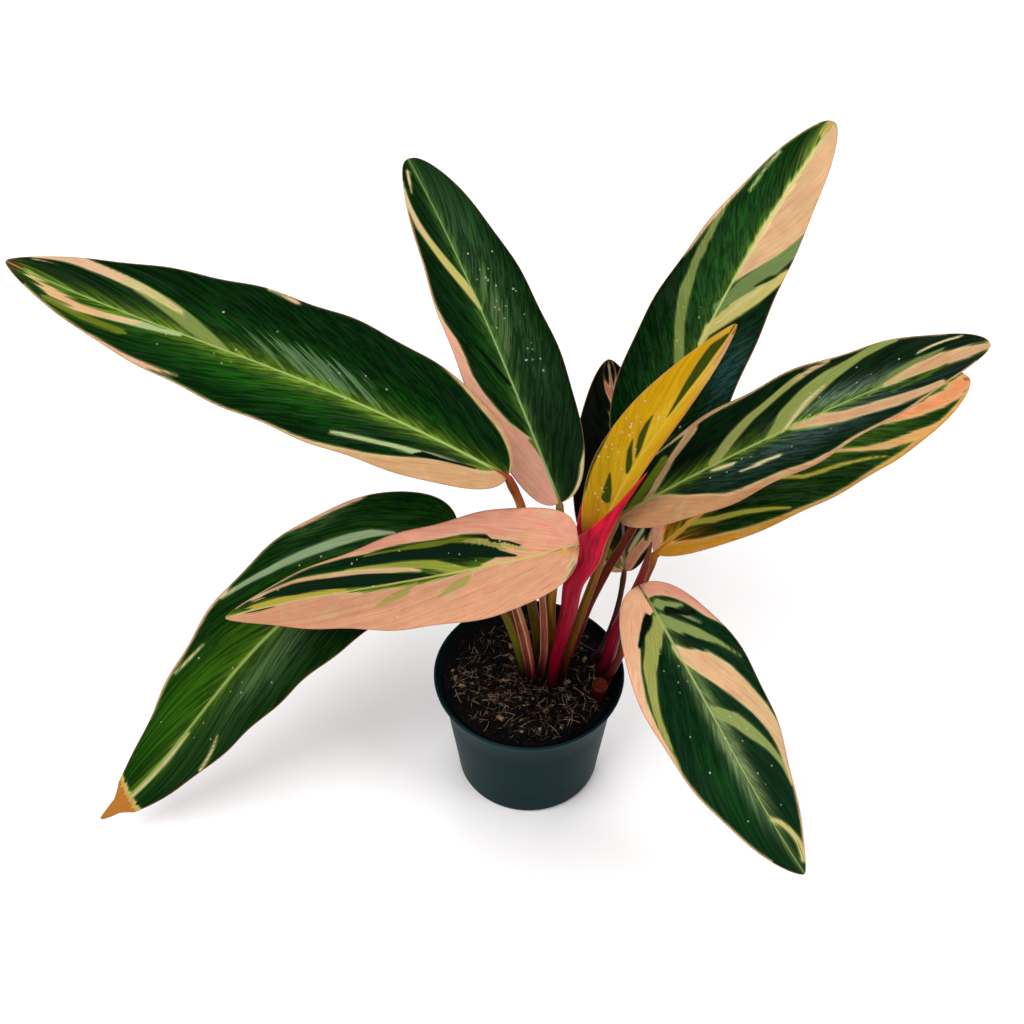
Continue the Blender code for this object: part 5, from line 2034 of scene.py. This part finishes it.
@dataclass
class Studio:
    """Floor, lights and camera."""
    location: Triple = (-0.0107, -0.7085, 0.9664)
    tilt: float = 44.0
    lens: float = 62.79
    sensor: float = 36.0
    floor: float = 6.0       # half the floor's width in metres
    sky: float = 0.42
    aim: Triple = (0.0, 0.0, 0.2)
    lamps: tuple[Lamp, ...] = (
        Lamp("key", (-0.9, -0.7, 1.7), (1.4, 1.4), 33),
        Lamp("fill", (1.3, -0.5, 1.2), (0.9, 1.4), 17),
        Lamp("back", (0.3, 1.3, 1.4), (1.6, 0.8), 15),
    )

    def light(self, lamp: Lamp) -> None:
        """Put up one light.

        Args:
            lamp: The light.
        """
        data = bpy.data.lights.new(lamp.name, "AREA")
        data.shape = "RECTANGLE"
        data.size, data.size_y = lamp.size
        data.energy = lamp.power
        made = Builder.put(lamp.name, data)
        made.location = lamp.place
        made.rotation_euler = (Vector(self.aim) - Vector(lamp.place)).to_track_quat("-Z", "Y").to_euler()

    def build(self, floor: Material) -> None:
        """Set up the studio.

        Args:
            floor: The floor's material.
        """
        scene = bpy.context.scene
        data = bpy.data.cameras.new("camera")
        data.lens = self.lens
        data.sensor_width = self.sensor
        data.clip_end = 50.0
        scene.camera = Builder.put("camera", data)
        scene.camera.location = self.location
        scene.camera.rotation_euler = (math.radians(self.tilt), 0, 0)
        ground = bpy.data.meshes.new("floor")
        corners = [(self.floor * x, self.floor * y, 0) for x, y in ((-1, -1), (1, -1), (1, 1), (-1, 1))]
        ground.from_pydata(corners, [], [(0, 1, 2, 3)])
        ground.materials.append(floor)
        Builder.put("floor", ground)
        for lamp in self.lamps:
            self.light(lamp)
        world = bpy.data.worlds.new("studio")
        world.use_nodes = True
        sky = world.node_tree.nodes["Background"]
        sky.inputs[0].default_value = (1, 1, 1, 1)
        sky.inputs[1].default_value = self.sky
        scene.world = world
        scene.view_settings.view_transform = "Standard"
        scene.view_settings.look = "None"


def round_sections(*radii: float) -> tuple[tuple[float, ...], ...]:
    """Sections of a round sheath, centred on its path."""
    return tuple((radius, radius, 0.0, 0.0) for radius in radii)


@dataclass
class Spear:
    """The rolled shoot at the pot's right, with the lip of its outer roll."""
    foot: Pair = (45.5, 1.5)
    way: tuple[Triple, ...] = (
        (49.5, 0, 101), (53.5, 1, 126), (61.8, 3, 153), (68.3, 6, 177), (71.5, 8.5, 198))
    radii: tuple[float, ...] = (4.0, 4.4, 4.4, 3.9, 3.4, 2.6, 0.6)
    stops: Stops = ((0, tone(72, 3, 20)), (.25, tone(128, 6, 34)), (.6, tone(150, 12, 42)),
                    (.85, tone(124, 46, 36)), (1, tone(120, 80, 36)))
    rings: int = 90
    lip: float = 0.16

    def rolled(self, angle: Array, share: float) -> Array:
        """Section of the shoot: a spiral whose lip turns slowly round it."""
        turned = (angle - 0.9 * share - 3.4) % (2 * np.pi)
        return 1 - self.lip * turned / (2 * np.pi)

    def build(self, material: Material) -> None:
        """Make the shoot and hand it over.

        Args:
            material: Its material.
        """
        way = np.array([(*self.foot, FOOT_TOP), *self.way], dtype=float)
        shares = np.linspace(0, 1, self.rings)
        points = np.array([[*self.foot, FOOT_LOW]] + [spline(way, share) for share in shares])
        shares = np.concatenate([[0], shares])
        radii = np.interp(shares, np.linspace(0, 1, len(self.radii)), self.radii)
        tints = ring_tints(points[:, 2], shares, self.stops)
        made = Tube(points, radii, 28, self.rolled).build("shoot_spear", tints, material)
        Builder.hand_over(made, "crimson", "spear_crimson")


@dataclass
class Stump:
    """The cut stub of an old stalk."""
    place: Pair = (44.0, -15.0)
    radius: float = 5.0
    top: float = 95.0
    skin: Colour = tone(56, 8, 14)
    rim: Colour = tone(92, 40, 28)
    flesh: Colour = tone(108, 44, 16)

    def build(self, material: Material) -> None:
        """Make the stub and hand it over.

        Args:
            material: Its material.
        """
        r, top = self.radius, self.top
        profile = ((0, FOOT_LOW), (r - 0.3, FOOT_LOW), (r - 0.1, SOIL_LINE), (r, 90), (r, top - 0.6),
                   (r - 0.15, top - 0.15), (r - 0.5, top), (r - 0.9, top - 0.2), (r - 1.2, top - 0.9),
                   (r - 1.6, top - 1.7), (r - 3, top - 2.0), (0, top - 1.8))
        made = Lathe(profile, 48, self.place).build("stump_cut", material)
        Builder.face_outwards(made)
        x, y, z = (Builder.places(made) / MM).T
        x, y = x - self.place[0], y - self.place[1]
        out = np.hypot(x, y)[:, None]
        high = (z > top - 0.7)[:, None]
        tints = np.where(high & (out > r - 1.3), self.rim, np.where(out < r - 1.1, self.flesh, self.skin))
        Builder.carry(made, "tint", tints)
        skin = np.stack([np.arctan2(y, x) / (2 * np.pi), z / CHART_UNIT], axis=1)
        Builder.chart(made, "skin", skin)
        Builder.hand_over(made, "crimson", "stub_cut")


@dataclass
class Plant:
    """All that grows in the pot."""
    leaves: tuple[Growth, ...] = LEAVES

    def build(self) -> None:
        """Make blades, stalks, dew, sheaths, shoot and stub."""
        face, underside = BladeFinish().build(), UndersideFinish().build()
        stalk = StemFinish("stalk_skin", 0.4, 16, 0.3, 0.6).build()
        sheath = StemFinish("sheath_skin", 0.32, 22, 0.18).build()
        water = DewFinish().build()
        for growth in self.leaves:
            leaf = Leaf(growth, PAINTINGS[growth.name])
            leaf.build(face, underside)
            Petiole(leaf, STALK_STOPS[growth.name]).build(stalk)
            if growth.name in SHOWERS:
                Dew(leaf, SHOWERS[growth.name]).build(water)
        for part in (*self.wraps(), Spear(), Stump()):
            part.build(sheath)

    def wraps(self) -> tuple[Wrap, ...]:
        """Describe the three rolled sheaths.

        Returns:
            The crimson sheath, then the two narrow ones.
        """
        young = next(growth for growth in self.leaves if growth.name == "young_gold")
        midrib = Leaf(young, PAINTINGS[young.name]).midrib(np.linspace(0.1, 0.6, 6))
        crimson = Wrap(
            "crimson", young.foot, (*young.way, young.base, *midrib.tolist()),
            ((3.1, 3.1, 0, 0), (3.4, 3.4, 0, 0), (4.0, 3.9, 0, 0), (5.0, 4.4, 0, 0), (6.2, 5.0, -1.4, 0),
             (7.3, 5.6, -3.7, 0.3), (10.0, 6.7, -4.7, 1.2), (12.9, 6.5, -6.0, 2.2),
             (13.75, 6.1, -5.95, 2.4), (14.4, 5.7, -5.3, 2.4), (14.7, 5.3, -4.4, 2.4),
             (14.5, 4.9, -3.6, 2.2)),
            (-75, 255), (.52, .57, .68, .9, .73, .64, .58, .54, .52, .56, .65, .58, .53),
            ((0, tone(92, 2, 18)), (.2, tone(150, 2, 36)), (.36, tone(182, 3, 46)), (.5, tone(202, 5, 50)),
             (.7, tone(206, 12, 50)), (1, tone(190, 34, 30))),
            tone(206, 60, 40), 84, 150, "crimson", -44, 0.6)
        pink = Wrap(
            "pink", (7, -3.5), ((8.2, -3.6, 98), (9.2, -4, 119), (8, -3, 154), (4, -1, 204)),
            round_sections(1.9, 2.2, 2.2, 2.0, 1.4), (40, -200), (.82, .93, 1.0, .9, .72),
            ((0, tone(110, 26, 34)), (.3, tone(186, 82, 76)), (.7, tone(200, 112, 86)),
             (1, tone(206, 150, 100))), tone(214, 170, 130), 36)
        left = Wrap(
            "left", (1, -6.5), ((-0.4, -6.2, 107), (-7, -4, 146), (-20, -1, 198)),
            round_sections(2.1, 3.0, 3.4, 3.0, 1.8), (70, -160), (.75, .92, 1.0, .9, .8),
            ((0, tone(104, 30, 30)), (.3, tone(184, 80, 66)), (.7, tone(186, 116, 72)),
             (1, tone(190, 150, 90))), tone(214, 186, 144), 40)
        return crimson, pink, left


def main() -> None:
    """Build the studio, the pot, its soil and the plant."""
    logging.basicConfig(level=logging.INFO, format="%(name)s %(message)s")
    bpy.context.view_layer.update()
    Studio().build(FloorFinish().build())
    pot = Pot()
    pot.build(PotFinish().build())
    litter = (LitterFinish("coir", tone(28, 19, 13), tone(164, 136, 108)),
              LitterFinish("crumb", tone(6, 5, 4), tone(34, 26, 20)),
              LitterFinish("bark", tone(76, 54, 36), tone(160, 132, 96)))
    Soil(pot).build(*(finish.build() for finish in (SoilFinish(), *litter)))
    Plant().build()


if __name__ == "__main__":
    main()
